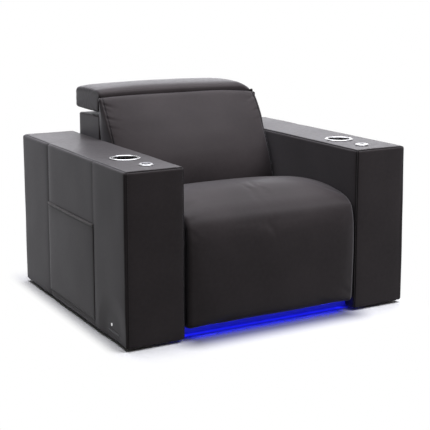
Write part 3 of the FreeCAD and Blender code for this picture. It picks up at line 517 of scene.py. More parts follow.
@dataclass(frozen=True)
class FloorFinish:
    """Pale matt floor. It shows white, with a painted shadow under the seat between the arms, and throws
    little light back under the seat.
    """

    name: str = "pale_floor"
    shown: Colour = (1.22, 1.22, 1.22)
    # under: colour of the painted shadow on the floor under the seat, between the arms
    under: Colour = (0.30, 0.30, 0.30)
    thrown: Colour = (0.16, 0.16, 0.16)
    footprint: tuple[float, float] = (0.57, 0.50)
    # opening: the rectangle between the arms that gets the painted shadow
    opening: tuple[float, float] = (0.31, 0.50)
    fade: tuple[float, float] = (0.0, 0.17)
    quicken: Point = (2.6, 1.0, 0.0)
    # how far beyond that rectangle the painted shadow fades out
    shadow_fade: float = 0.10

    @staticmethod
    def past(b: ShaderBuilder, half: tuple[float, float]) -> bpy.types.NodeSocket:
        """How far a place lies outside a rectangle about the middle, along x and y.

        Args:
            b: the material's builder.
            half: half the rectangle's width and depth.

        Returns:
            The vector's socket.
        """
        size = b.maths("ABSOLUTE", b.place, vector=True)
        over = b.maths("SUBTRACT", size, (*half, 0.0), vector=True)
        return b.maths("MAXIMUM", over, NOUGHT, vector=True)

    @staticmethod
    def length(b: ShaderBuilder, vector: bpy.types.NodeSocket) -> bpy.types.NodeSocket:
        """Length of a vector.

        Args:
            b: the material's builder.
            vector: its socket.

        Returns:
            The number's socket.
        """
        return b.node("ShaderNodeVectorMath", {0: vector}, operation="LENGTH").outputs["Value"]

    def material(self) -> bpy.types.Material:
        """Makes the floor, plain white away from the seat's shadow, with a painted shadow under the seat
        between the arms.

        Returns:
            The material.
        """
        b = ShaderBuilder(self.name)
        seen = b.seen()
        past = b.maths("MULTIPLY", self.past(b, self.footprint), self.quicken, vector=True)
        reach = {0: self.length(b, past), 1: self.fade[0], 2: self.fade[1]}
        away = b.node("ShaderNodeMapRange", reach, interpolation_type="SMOOTHSTEP").outputs[0]
        # painted shadow under the seat and just ahead of the leg pad
        shadow_fade = b.spread(self.length(b, self.past(b, self.opening)), 0.0, self.shadow_fade)
        lit = b.node("ShaderNodeBsdfDiffuse", {"Color": b.blend(shadow_fade, self.under, self.shown)})
        plain = b.node("ShaderNodeEmission", {"Color": WHITE, "Strength": 1.0})
        bright = b.node("ShaderNodeMixShader", {0: away, 1: lit.outputs[0], 2: plain.outputs[0]})
        dull = b.node("ShaderNodeBsdfDiffuse", {"Color": (*self.thrown, 1.0)})
        made = b.node("ShaderNodeMixShader", {0: seen, 1: dull.outputs[0], 2: bright.outputs[0]})
        b.tree.links.new(made.outputs[0], b.output.inputs["Surface"])
        return b.material


class Finishes:
    """Every finish of the seat, made once."""

    def __init__(self) -> None:
        """Makes the materials."""
        self.leather = Leather().material()
        self.thread = Thread().material()
        self.by_slot = {
            "leather": self.leather,
            "plywood": Plywood().material(),
            "black_steel": PowderCoat().material(),
            "bright_steel": BrushedMetal().material(),
            "black_plastic": MouldedPlastic().material(),
            "grey_plastic": MouldedPlastic("grey_plastic", (0.13, 0.13, 0.14), 0.38).material(),
            "light": LitPlastic().material(),
            "rod": BrushedMetal("polished_rod", (0.72, 0.72, 0.72), 0.12, (60.0, 1.0, 60.0)).material(),
        }
        self.cup = CupMetal().material()
        self.ring = BrushedMetal("ring_metal", (0.50, 0.50, 0.51), 0.28).material()
        self.by_node = {
            "left_cup_holder": self.cup,
            "right_cup_holder": self.cup,
            "switch_bezel": self.ring,
            "accessory_dock": self.ring,
            # the light channel gets a faint painted blue glow of its own, standing in for the strip's light
            # falling on it
            "led_channel": LitPlastic("channel_painted_glow", (0.004, 0.006, 0.36), 0.85).material(),
        }

    def dress_frame(self) -> None:
        """Gives each CAD node its finish, by the record's material slot."""
        for part in frame["record"]["subparts"]:
            made = self.by_node.get(part["node"], self.by_slot[part["material_slot"]])
            node = frame["nodes"][part["node"]]
            node.data.materials.clear()
            node.data.materials.append(made)


# Mesh helpers


def coordinates(mesh: bpy.types.Mesh) -> np.ndarray:
    """The vertices of a mesh as rows of x, y, z.

    Args:
        mesh: the mesh.

    Returns:
        The rows.
    """
    flat = np.empty(len(mesh.vertices) * 3, np.float32)
    mesh.vertices.foreach_get("co", flat)
    return flat.reshape(-1, 3).astype(float)


def normals(mesh: bpy.types.Mesh) -> np.ndarray:
    """The vertex normals of a mesh as rows of x, y, z.

    Args:
        mesh: the mesh.

    Returns:
        The rows.
    """
    flat = np.empty(len(mesh.vertices) * 3, np.float32)
    mesh.vertices.foreach_get("normal", flat)
    return flat.reshape(-1, 3).astype(float)


def move_to(mesh: bpy.types.Mesh, points: np.ndarray) -> None:
    """Sets the vertices of a mesh."""
    mesh.vertices.foreach_set("co", points.astype(np.float32).ravel())
    mesh.update()


def store(mesh: bpy.types.Mesh, name: str, values: np.ndarray) -> None:
    """Stores one number for each vertex."""
    made = mesh.attributes.get(name) or mesh.attributes.new(name, "FLOAT", "POINT")
    made.data.foreach_set("value", values.astype(np.float32))


def new_object(
    name: str, mesh: bpy.types.Mesh, finish: Optional[bpy.types.Material] = None
) -> bpy.types.Object:
    """Links a mesh into the scene as an object at the origin, smooth shaded.

    Args:
        name: the piece's name.
        mesh: its mesh.
        finish: its material.

    Returns:
        The object.
    """
    made = bpy.data.objects.new(name, mesh)
    bpy.context.scene.collection.objects.link(made)
    mesh.polygons.foreach_set("use_smooth", np.ones(len(mesh.polygons), bool))
    if finish is not None:
        mesh.materials.clear()
        mesh.materials.append(finish)
    return made


def build_mesh(
    name: str, points: np.ndarray, faces: Iterable[Sequence[int]], weld: float = 1e-6
) -> bpy.types.Mesh:
    """Makes a mesh, merges its doubles and turns its faces outwards.

    Args:
        name: the mesh's name.
        points: rows of x, y, z.
        faces: index loops.
        weld: vertices nearer than this are merged.

    Returns:
        The mesh.
    """
    mesh = bpy.data.meshes.new(name)
    mesh.from_pydata(points.tolist(), [], [tuple(f) for f in faces])
    work = bmesh.new()
    work.from_mesh(mesh)
    bmesh.ops.remove_doubles(work, verts=work.verts, dist=weld)
    bmesh.ops.recalc_face_normals(work, faces=work.faces)
    work.to_mesh(mesh)
    work.free()
    mesh.update()
    return mesh


def baked(obj: bpy.types.Object) -> None:
    """Applies an object's modifiers to its mesh.

    Args:
        obj: the object.
    """
    graph = bpy.context.evaluated_depsgraph_get()
    made = bpy.data.meshes.new_from_object(obj.evaluated_get(graph))
    old = obj.data
    obj.modifiers.clear()
    obj.data = made
    bpy.data.meshes.remove(old)
    made.polygons.foreach_set("use_smooth", np.ones(len(made.polygons), bool))


def subdivided(obj: bpy.types.Object, levels: int = 1) -> None:
    """Rounds an object by subdivision and applies it.

    Args:
        obj: the object.
        levels: how many times.
    """
    made = obj.modifiers.new("round", "SUBSURF")
    made.levels = levels
    made.render_levels = levels
    baked(obj)


def between(u: np.ndarray, start: float, end: float, p: np.ndarray, q: np.ndarray) -> np.ndarray:
    """Straight blend of two points or rows of points.

    Args:
        u: where, along the curve.
        start: where it is p.
        end: where it is q.
        p: the first.
        q: the second.

    Returns:
        The blended rows.
    """
    return (end - u) / (end - start) * p + (u - start) / (end - start) * q


def curve_through(keys: Curve2D, count: int) -> np.ndarray:
    """Smooth plane curve through points, in equal steps of length.

    Args:
        keys: the points it passes.
        count: steps along it.

    Returns:
        count + 1 points.
    """
    p = np.array(keys, float)
    p = np.vstack([2 * p[0] - p[1], p, 2 * p[-1] - p[-2]])
    t = np.concatenate([[0.0], np.cumsum(np.sqrt(np.linalg.norm(np.diff(p, axis=0), axis=1)) + 1e-9)])
    parts = []
    for i in range(1, len(p) - 2):
        u = np.linspace(t[i], t[i + 1], 17)[: -1 if i < len(p) - 3 else None, None]
        a1 = between(u, t[i - 1], t[i], p[i - 1], p[i])
        a2 = between(u, t[i], t[i + 1], p[i], p[i + 1])
        a3 = between(u, t[i + 1], t[i + 2], p[i + 1], p[i + 2])
        b1 = between(u, t[i - 1], t[i + 1], a1, a2)
        b2 = between(u, t[i], t[i + 2], a2, a3)
        parts.append(between(u, t[i], t[i + 1], b1, b2))
    return evenly(np.vstack(parts), count)


def evenly(points: np.ndarray, count: int) -> np.ndarray:
    """The same polyline in count equal steps of length.

    Args:
        points: the polyline.
        count: how many steps.

    Returns:
        count + 1 points.
    """
    far = np.concatenate([[0.0], np.cumsum(np.linalg.norm(np.diff(points, axis=0), axis=1))])
    at = np.linspace(0.0, far[-1], count + 1)
    return np.column_stack([np.interp(at, far, points[:, k]) for k in range(points.shape[1])])


def crown(x: float, half: float, power: float = 2.6) -> float:
    """One in the middle of a cushion, nought at its sides."""
    return max(0.0, 1.0 - abs(x / half) ** power)


@dataclass
class PaddedBlock:
    """A closed padded form drawn through matching outer and inner curves across the seat.

    The curves are functions of x that return plane points (y, z), both from the same end.
    """

    name: str
    half: float
    outer: Callable[[float], np.ndarray]
    inner: Callable[[float], np.ndarray]
    edge: float = 0.014
    step: float = 0.009
    ribs: int = 8
    bow: tuple[float, float] = (0.0, 0.0)
    pillow: float = 0.0015
    soften: float = 0.018

    def ring(self, x: float) -> np.ndarray:
        """Closed outline at x: outer curve, far rib, inner curve back, near rib.

        Args:
            x: place across the seat.

        Returns:
            The outline's points.
        """
        a = self.outer(x)
        b = self.inner(x)
        far = self.rib(a[-1], b[-1], a[-1] - a[-2], self.bow[1])
        near = self.rib(b[0], a[0], a[0] - a[1], self.bow[0])
        return np.vstack([a, far[1:-1], b[::-1], near[1:-1]])

    def rib(self, p: np.ndarray, q: np.ndarray, away: np.ndarray, bow: float) -> np.ndarray:
        """Line between the two curves, bowed outwards.

        Args:
            p: end on one curve.
            q: end on the other.
            away: which way it bows.
            bow: how far.

        Returns:
            The line's points.
        """
        share = np.linspace(0.0, 1.0, self.ribs + 1)[:, None]
        out = away / (np.linalg.norm(away) + 1e-12)
        return p + (q - p) * share + out * bow * 4 * share * (1 - share)

    def inward(self, ring: np.ndarray) -> np.ndarray:
        """Smoothed inward directions along an outline.

        Args:
            ring: the outline.

        Returns:
            A direction for each point.
        """
        tangent = np.roll(ring, -1, axis=0) - np.roll(ring, 1, axis=0)
        gap = np.linalg.norm(tangent, axis=1)
        normal = np.column_stack([-tangent[:, 1], tangent[:, 0]]) / gap[:, None]
        x, y = ring[:, 0], ring[:, 1]
        if np.sum(x * np.roll(y, -1) - np.roll(x, -1) * y) < 0:
            normal = -normal
        weight = gap[:, None]
        rounds = max(1, int((self.soften / np.median(gap)) ** 2))
        total, scale = normal * weight, weight.copy()
        for _ in range(rounds):
            total = (np.roll(total, 1, axis=0) + 2 * total + np.roll(total, -1, axis=0)) / 4
            scale = (np.roll(scale, 1, axis=0) + 2 * scale + np.roll(scale, -1, axis=0)) / 4
        return total / scale

    def stations(self) -> list[tuple[float, float]]:
        """Places across the form: (x, how far the outline is drawn in there).

        Returns:
            The places, from the left end.
        """
        flat = self.half - self.edge
        count = max(2, int(round(2 * flat / self.step)))
        middle = [(x, 0.0) for x in np.linspace(-flat, flat, count + 1)]
        turns = np.linspace(0.0, math.pi / 2, 6)[1:]
        ends = [(flat + self.edge * math.sin(a), self.edge * (1 - math.cos(a))) for a in turns]
        return [(-x, d) for x, d in reversed(ends)] + middle + ends

    def mesh(self) -> bpy.types.Mesh:
        """Builds the closed mesh.

        Returns:
            The mesh.
        """
        rows = []
        for x, drawn in self.stations():
            ring = self.ring(x)
            if drawn:
                ring = ring + self.inward(ring) * drawn
            rows.append(np.column_stack([np.full(len(ring), x), ring]))
        n = len(rows[0])
        points = [np.vstack(rows)]
        faces = []
        for r in range(len(rows) - 1):
            for k in range(n):
                m = (k + 1) % n
                faces.append((r * n + k, r * n + m, (r + 1) * n + m, (r + 1) * n + k))
        base = len(rows) * n
        long = len(self.outer(0.0))
        for row, first in ((rows[0], 0), (rows[-1], (len(rows) - 1) * n)):
            sign = -1.0 if first == 0 else 1.0
            inner_start = long + self.ribs - 1
            index = np.zeros((long, self.ribs + 1), int)
            extra = []
            for i in range(long):
                a = i
                b = inner_start + long - 1 - i
                for j in range(self.ribs + 1):
                    if j == 0:
                        index[i, j] = first + a
                    elif j == self.ribs:
                        index[i, j] = first + b
                    elif i == long - 1:
                        index[i, j] = first + long - 1 + j
                    elif i == 0:
                        index[i, j] = first + n - j
                    else:
                        share = j / self.ribs
                        p = row[a] * (1 - share) + row[b] * share
                        rise = math.sin(math.pi * share) * min(1.0, min(i, long - 1 - i) / 4)
                        index[i, j] = base + len(extra)
                        extra.append(p + np.array([sign * self.pillow * rise, 0.0, 0.0]))
            for i in range(long - 1):
                for j in range(self.ribs):
                    faces.append((index[i, j], index[i, j + 1], index[i + 1, j + 1], index[i + 1, j]))
            points.append(np.array(extra))
            base += len(extra)
        return build_mesh(self.name, np.vstack(points), faces)


def even_lines(
    low: float, high: float, step: float, fine: Iterable[tuple[float, float, float]] = ()
) -> np.ndarray:
    """Grid lines between two ends, closer near given places.

    Args:
        low: first line.
        high: last line.
        step: usual gap.
        fine: (place, reach, gap) of the close parts.

    Returns:
        The sorted lines.
    """
    lines = [low]
    spots = list(fine)
    while lines[-1] < high - 1e-9:
        here = lines[-1]
        gap = step
        for place, reach, close in spots:
            far = max(0.0, abs(here + close / 2 - place) - reach)
            gap = min(gap, close + far * 0.45)
        lines.append(min(high, here + gap))
    if len(lines) > 2 and lines[-1] - lines[-2] < 0.3 * (lines[-2] - lines[-3]):
        lines.pop(-2)
    return np.array(lines)


@dataclass
class RoundedBox:
    """Surface grid of a box with rounded edges, with or without a hollow open below."""

    low: np.ndarray
    high: np.ndarray
    radius: float
    lines: tuple[np.ndarray, np.ndarray, np.ndarray]
    wall: float = 0.0

    @staticmethod
    def edge_lines(low: float, high: float, radius: float, middle: np.ndarray, steps: int = 7) -> np.ndarray:
        """Grid lines that turn the rounded edges in equal angles.

        Args:
            low: first line.
            high: last line.
            radius: radius of the edges.
            middle: lines wanted between them.
            steps: steps over each half edge.

        Returns:
            The sorted lines.
        """
        turn = radius * np.tan(np.linspace(0.0, math.pi / 4, steps + 1))
        keep = middle[(middle > low + radius + 5e-4) & (middle < high - radius - 5e-4)]
        return np.concatenate([low + radius - turn[::-1], keep, high - radius + turn])

    def rounded(self, raw: np.ndarray) -> np.ndarray:
        """Moves points of the sharp box onto the rounded one.

        Args:
            raw: points of the sharp box.

        Returns:
            The points on the rounded one.
        """
        core = np.clip(raw, self.low + self.radius, self.high - self.radius)
        out = raw - core
        length = np.linalg.norm(out, axis=1, keepdims=True)
        return core + out / np.maximum(length, 1e-9) * self.radius

    def mesh(self, name: str) -> bpy.types.Mesh:
        """Builds the mesh, closed, with its hollow if it has a wall.

        Args:
            name: the mesh's name.

        Returns:
            The mesh.
        """
        raw, faces = grid_box(self.lines, lambda side, c: self.keeps(side, c))
        points = self.rounded(raw)
        if self.wall:
            x, y = self.lines[:2]
            inner_low = self.low + self.wall
            inner_high = self.high - self.wall
            xs = inside(x, inner_low[0], inner_high[0])
            ys = inside(y, inner_low[1], inner_high[1])
            zs = np.linspace(self.low[2], inner_high[2], 9)
            more, extra = grid_box((xs, ys, zs), lambda side, c: side != "z0" or np.zeros(len(c), bool))
            faces = faces + [tuple(k + len(points) for k in f) for f in extra]
            points = np.vstack([points, more])
        return build_mesh(name, points, faces)

    def keeps(self, side: str, centres: np.ndarray) -> Union[bool, np.ndarray]:
        """Which faces of one side stay: all, or the rim round the open hollow.

        Args:
            side: the side's name.
            centres: the middles of its faces.

        Returns:
            True for all, or a mask.
        """
        if side != "z0" or not self.wall:
            return True
        lo = self.low + self.wall
        hi = self.high - self.wall
        within = (centres[:, :2] > lo[:2]) & (centres[:, :2] < hi[:2])
        return ~within.all(axis=1)


def inside(lines: np.ndarray, low: float, high: float) -> np.ndarray:
    """The lines between two ends, with the ends themselves."""
    keep = lines[(lines > low + 1e-6) & (lines < high - 1e-6)]
    return np.concatenate([[low], keep, [high]])


def grid_box(lines: Sequence[np.ndarray], keeps: Callable) -> tuple[np.ndarray, list[tuple[int, ...]]]:
    """Points and quads of a box's six sides on given grid lines.

    Args:
        lines: the lines of x, y and z.
        keeps: function of (side name, face centres) that says which faces stay.

    Returns:
        The points and the faces.
    """
    x, y, z = lines
    size = (len(x), len(y), len(z))
    faces: list[np.ndarray] = []
    for axis, word in enumerate("xyz"):
        u, v = [k for k in range(3) if k != axis]
        i, j = np.meshgrid(np.arange(size[u] - 1), np.arange(size[v] - 1), indexing="ij")
        for end in (0, 1):
            quad = []
            for du, dv in ((0, 0), (1, 0), (1, 1), (0, 1)):
                triple = [None, None, None]
                triple[axis] = np.full(i.size, end * (size[axis] - 1))
                triple[u] = (i + du).ravel()
                triple[v] = (j + dv).ravel()
                quad.append((triple[0] * size[1] + triple[1]) * size[2] + triple[2])
            quads = np.column_stack(quad)
            centre = np.zeros((len(quads), 3))
            centre[:, axis] = lines[axis][-end]
            centre[:, u] = (lines[u][i.ravel()] + lines[u][i.ravel() + 1]) / 2
            centre[:, v] = (lines[v][j.ravel()] + lines[v][j.ravel() + 1]) / 2
            kept = keeps(f"{word}{end}", centre)
            faces.append(quads if kept is True else quads[kept])
    every = np.vstack(faces)
    used, flat = np.unique(every, return_inverse=True)
    i, rest = np.divmod(used, size[1] * size[2])
    j, k = np.divmod(rest, size[2])
    points = np.column_stack([x[i], y[j], z[k]])
    return points, [tuple(f) for f in flat.reshape(-1, 4).tolist()]


# Seams and stitches


@dataclass
class Seam:
    """A sewn line on a piece: a groove with soft shoulders and painted shade in it, and stitches beside it.
    """

    path: np.ndarray
    depth: float = 0.0022
    width: float = 0.0016
    shoulder: float = 0.0020
    reach: float = 0.012
    rows: tuple[float, ...] = (0.0045,)
    # dark: strength of the painted shade in the groove
    dark: float = 1.0


@dataclass
class Upholstery:
    """Adds seams, soft unevenness and stitch rows to a leather piece."""

    obj: bpy.types.Object
    seams: list[Seam] = field(default_factory=list)
    unevenness: float = 0.0006
    patch: float = 9.0
    seed: float = 0.0

    def sew(self) -> None:
        """Presses the seams into the mesh and stores their painted shade."""
        mesh = self.obj.data
        here = coordinates(mesh)
        out = normals(mesh)
        depth = np.zeros(len(here))
        dark = np.zeros(len(here))
        for seam in self.seams:
            far = distance_to(here, seam.path)
            groove = seam.depth * np.exp(-((far / seam.width) ** 2))
            depth = np.maximum(depth, seam.shoulder * np.exp(-far / seam.reach) + groove)
            # painted shade along each seam's groove
            dark = np.maximum(dark, seam.dark * np.exp(-((far / (1.35 * seam.width)) ** 2)))
        swell = np.array([noise.noise(Vector(p * self.patch) + Vector((self.seed, 0.3, 1.7))) for p in here])
        fade = 1.0 - np.clip(depth / 0.004, 0.0, 1.0)
        move_to(mesh, here + out * (swell * self.unevenness * fade - depth)[:, None])
        store(mesh, "seam_shade", dark)

    def rows(self) -> list[StitchLine]:
        """Stitch lines on the finished surface: (points, outward directions).

        Returns:
            The stitch lines.
        """
        self.obj.data.calc_loop_triangles()
        tree = BVHTree.FromObject(self.obj, bpy.context.evaluated_depsgraph_get())
        made = []
        for seam in self.seams:
            for offset in seam.rows:
                made.extend(self.row(tree, seam.path, offset))
        return made

    def row(self, tree: BVHTree, path: np.ndarray, offset: float) -> list[StitchLine]:
        """One line of stitches beside a seam.

        Args:
            tree: the surface.
            path: the seam.
            offset: how far beside it, signed.

        Returns:
            One (points, directions) pair, or none where the line leaves the surface.
        """
        length = np.linalg.norm(np.diff(path, axis=0), axis=1).sum()
        line = evenly(path, max(3, int(length / STITCH_STEP)))
        ahead = np.gradient(line, axis=0)
        ahead /= np.linalg.norm(ahead, axis=1, keepdims=True) + 1e-12
        points, ups = [], []
        for p, t in zip(line, ahead):
            first = tree.find_nearest(Vector(p))
            if first[0] is None:
                continue
            beside = Vector(t).cross(first[1])
            spot, up, _, _ = tree.find_nearest(Vector(p) + beside * offset + first[1] * STITCH_REACH)
            points.append(spot)
            ups.append(up)
        return [(np.array(points), np.array(ups))] if len(points) > 2 else []


def distance_to(points: np.ndarray, path: np.ndarray) -> np.ndarray:
    """Distance of each point to a line, measured to dense points on it.

    Args:
        points: rows of x, y, z.
        path: the line.

    Returns:
        The distances, one metre where the line is far off.
    """
    length = np.linalg.norm(np.diff(path, axis=0), axis=1).sum()
    line = evenly(path, max(4, int(length / SEAM_SAMPLE)))
    low = line.min(0) - SEAM_MARGIN
    high = line.max(0) + SEAM_MARGIN
    near = np.all((points > low) & (points < high), axis=1)
    tree = kdtree.KDTree(len(line))
    for k, p in enumerate(line):
        tree.insert(p, k)
    tree.balance()
    far = np.full(len(points), 1.0)
    for k in np.nonzero(near)[0]:
        far[k] = tree.find(points[k])[2]
    return far


class NodesTree(NodeBuilder):
    """Base of a Geometry Nodes tree with named inputs."""

    name = "tree"

    def __init__(self) -> None:
        """Starts a tree with a geometry input and output."""
        super().__init__(bpy.data.node_groups.new(self.name, "GeometryNodeTree"))
        self.tree.interface.new_socket("Geometry", in_out="INPUT", socket_type="NodeSocketGeometry")
        self.tree.interface.new_socket("Geometry", in_out="OUTPUT", socket_type="NodeSocketGeometry")
        self.entry = None

    def number(self, name: str, value: Optional[float], kind: str = "NodeSocketFloat") -> None:
        """Adds a named input.

        Args:
            name: its name.
            value: its first value.
            kind: its socket's type.
        """
        made = self.tree.interface.new_socket(name, in_out="INPUT", socket_type=kind)
        if value is not None:
            made.default_value = value

    def facing(self, ahead: bpy.types.NodeSocket) -> bpy.types.NodeSocket:
        """Rotation with X along a direction and Z along the stored outward direction.

        Args:
            ahead: socket of the direction.

        Returns:
            The rotation's socket.
        """
        up = self.node(
            "GeometryNodeInputNamedAttribute", {"Name": "up"}, data_type="FLOAT_VECTOR"
        ).outputs["Attribute"]
        lined = self.node("FunctionNodeAlignRotationToVector", {"Vector": ahead}, axis="X").outputs[0]
        return self.node(
            "FunctionNodeAlignRotationToVector", {"Rotation": lined, "Vector": up}, axis="Z", pivot_axis="X"
        ).outputs[0]

    def dressed(self, geometry: bpy.types.NodeSocket, material: str) -> bpy.types.NodeSocket:
        """Makes instances real, smooth and of one material.

        Args:
            geometry: socket of the instances.
            material: name of the input that holds their material.

        Returns:
            The finished geometry's socket.
        """
        real = self.node("GeometryNodeRealizeInstances", {"Geometry": geometry}).outputs[0]
        smooth = self.node("GeometryNodeSetShadeSmooth", {"Geometry": real}).outputs[0]
        finish = {"Geometry": smooth, "Material": self.entry.outputs[material]}
        return self.node("GeometryNodeSetMaterial", finish).outputs[0]

    def run(self, obj: bpy.types.Object, values: dict[str, object]) -> None:
        """Runs the tree on an object and keeps the result as its plain mesh.

        Args:
            obj: the object, whose mesh holds the points and directions.
            values: the inputs by name.
        """
        made = obj.modifiers.new(self.name, "NODES")
        made.node_group = self.tree
        for item in self.tree.interface.items_tree:
            if item.in_out == "INPUT" and item.name in values:
                made[item.identifier] = values[item.name]
        baked(obj)


class StitchTree(NodesTree):
    """Lays arched stitches at an even pitch along each line."""

    name = "stitch_rows"

    def __init__(self) -> None:
        """Builds the tree."""
        super().__init__()
        self.number("Pitch", 0.0062)
        self.number("Stitch Length", 0.0048)
        self.number("Thread Radius", 0.00042)
        self.number("Arch", 0.00045)
        self.number("Waver", 0.06)
        self.number("Seed", 3, "NodeSocketInt")
        self.number("Material", None, "NodeSocketMaterial")
        self.entry = self.tree.nodes.new("NodeGroupInput")
        value = self.entry.outputs
        curve = self.node("GeometryNodeMeshToCurve", {0: value["Geometry"]}).outputs[0]
        spaced = self.node(
            "GeometryNodeResampleCurve", {"Curve": curve, "Length": value["Pitch"]}, mode="LENGTH"
        ).outputs[0]
        half = self.maths("MULTIPLY", value["Stitch Length"], 0.5)
        start = self.node(
            "ShaderNodeCombineXYZ",
            {"X": self.maths("MULTIPLY", half, -1.0), "Z": self.maths("MULTIPLY", value["Arch"], -1.2)},
        ).outputs[0]
        middle = self.node(
            "ShaderNodeCombineXYZ", {"Z": self.maths("MULTIPLY", value["Arch"], 2.4)}
        ).outputs[0]
        end = self.node(
            "ShaderNodeCombineXYZ", {"X": half, "Z": self.maths("MULTIPLY", value["Arch"], -1.2)}
        ).outputs[0]
        arch = self.node(
            "GeometryNodeCurveQuadraticBezier",
            {"Resolution": 4, "Start": start, "Middle": middle, "End": end},
        ).outputs[0]
        ring = self.node(
            "GeometryNodeCurvePrimitiveCircle", {"Resolution": 5, "Radius": value["Thread Radius"]}
        ).outputs[0]
        stitch = self.node(
            "GeometryNodeCurveToMesh", {"Curve": arch, "Profile Curve": ring, "Fill Caps": True}
        ).outputs[0]
        turn = self.facing(self.node("GeometryNodeInputTangent").outputs[0])
        angle = self.node(
            "FunctionNodeRandomValue",
            {
                "Min": self.maths("MULTIPLY", value["Waver"], -1.0),
                "Max": value["Waver"],
                "Seed": value["Seed"],
            },
        )
        waver = self.node(
            "FunctionNodeAxisAngleToRotation", {"Axis": (0.0, 0.0, 1.0), "Angle": angle.outputs[1]}
        ).outputs[0]
        turned = self.node(
            "FunctionNodeRotateRotation", {"Rotation": turn, "Rotate By": waver}, rotation_space="LOCAL"
        ).outputs[0]
        laid = self.node(
            "GeometryNodeInstanceOnPoints", {"Points": spaced, "Instance": stitch, "Rotation": turned}
        ).outputs[0]
        self.node("NodeGroupOutput", {0: self.dressed(laid, "Material")})


class ScrewTree(NodesTree):
    """Sets a domed screw head with a six-sided socket on each point."""

    name = "screw_heads"

    def __init__(self) -> None:
        """Builds the tree."""
        super().__init__()
        self.number("Head Radius", 0.0045)
        self.number("Head Height", 0.0022)
        self.number("Seed", 5, "NodeSocketInt")
        self.number("Material", None, "NodeSocketMaterial")
        self.number("Socket Material", None, "NodeSocketMaterial")
        self.entry = self.tree.nodes.new("NodeGroupInput")
        value = self.entry.outputs
        points = self.node("GeometryNodeMeshToPoints", {0: value["Geometry"]}).outputs[0]
        height = value["Head Height"]
        radius = value["Head Radius"]
        crest = self.maths("MULTIPLY", radius, 0.62)
        wide = {"Vertices": 18, "Radius Bottom": radius, "Radius Top": crest, "Depth": height}
        head = self.node("GeometryNodeMeshCone", wide).outputs["Mesh"]
        bore = self.maths("MULTIPLY", radius, 0.3)
        key = {"Vertices": 6, "Radius Bottom": bore, "Radius Top": bore, "Depth": 0.0003}
        socket = self.node("GeometryNodeMeshCone", key).outputs["Mesh"]
        lift = self.node("ShaderNodeCombineXYZ", {"Z": height}).outputs[0]
        socket = self.node("GeometryNodeTransform", {"Geometry": socket, "Translation": lift}).outputs[0]
        spin = self.node(
            "FunctionNodeRandomValue", {"Min": 0.0, "Max": 6.28, "Seed": value["Seed"]}
        ).outputs[1]
        about = self.node(
            "FunctionNodeAxisAngleToRotation", {"Axis": (0.0, 0.0, 1.0), "Angle": spin}
        ).outputs[0]
        up = self.node(
            "GeometryNodeInputNamedAttribute", {"Name": "up"}, data_type="FLOAT_VECTOR"
        ).outputs["Attribute"]
        stand = self.node("FunctionNodeAlignRotationToVector", {"Vector": up}, axis="Z").outputs[0]
        turned = self.node(
            "FunctionNodeRotateRotation", {"Rotation": stand, "Rotate By": about}, rotation_space="LOCAL"
        ).outputs[0]
        joined = self.node("GeometryNodeJoinGeometry")
        for shape, material in ((head, "Material"), (socket, "Socket Material")):
            each = {"Points": points, "Instance": shape, "Rotation": turned}
            laid = self.node("GeometryNodeInstanceOnPoints", each).outputs[0]
            self.tree.links.new(self.dressed(laid, material), joined.inputs[0])
        self.node("NodeGroupOutput", {0: joined.outputs[0]})


def rows_object(name: str, rows: Sequence[StitchLine]) -> bpy.types.Object:
    """Holds stitch lines as edges, with each point's outward direction.

    Args:
        name: the object's name.
        rows: the stitch lines.

    Returns:
        The object.
    """
    points, edges, ups = [], [], []
    for line, up in rows:
        start = len(points)
        points.extend(line.tolist())
        ups.extend(up.tolist())
        edges.extend((start + k, start + k + 1) for k in range(len(line) - 1))
    mesh = bpy.data.meshes.new(name)
    mesh.from_pydata(points, edges, [])
    made = mesh.attributes.new("up", "FLOAT_VECTOR", "POINT")
    made.data.foreach_set("vector", np.array(ups, np.float32).ravel())
    return new_object(name, mesh)


class Sewing:
    """Makes the stitches of each body."""

    def __init__(self, finishes: Finishes) -> None:
        """Keeps the tree and the thread."""
        self.tree = StitchTree()
        self.thread = finishes.thread

    def stitches(self, name: str, rows: Sequence[StitchLine], seed: int) -> bpy.types.Object:
        """Turns stitch lines into one mesh.

        Args:
            name: the piece's name.
            rows: the lines.
            seed: seed of the stitches' waver.

        Returns:
            The stitches.
        """
        made = rows_object(name, rows)
        self.tree.run(made, {"Seed": seed, "Material": self.thread})
        return made


@dataclass(frozen=True)
class Foam:
    """How the stuffing swells the leather in the cloth simulation."""

    quality: int = 5
    mass: float = 0.35
    stretch: float = 18.0
    shear: float = 8.0
    bend: float = 1.2
    pressure: float = 4.0
    frames: int = 20


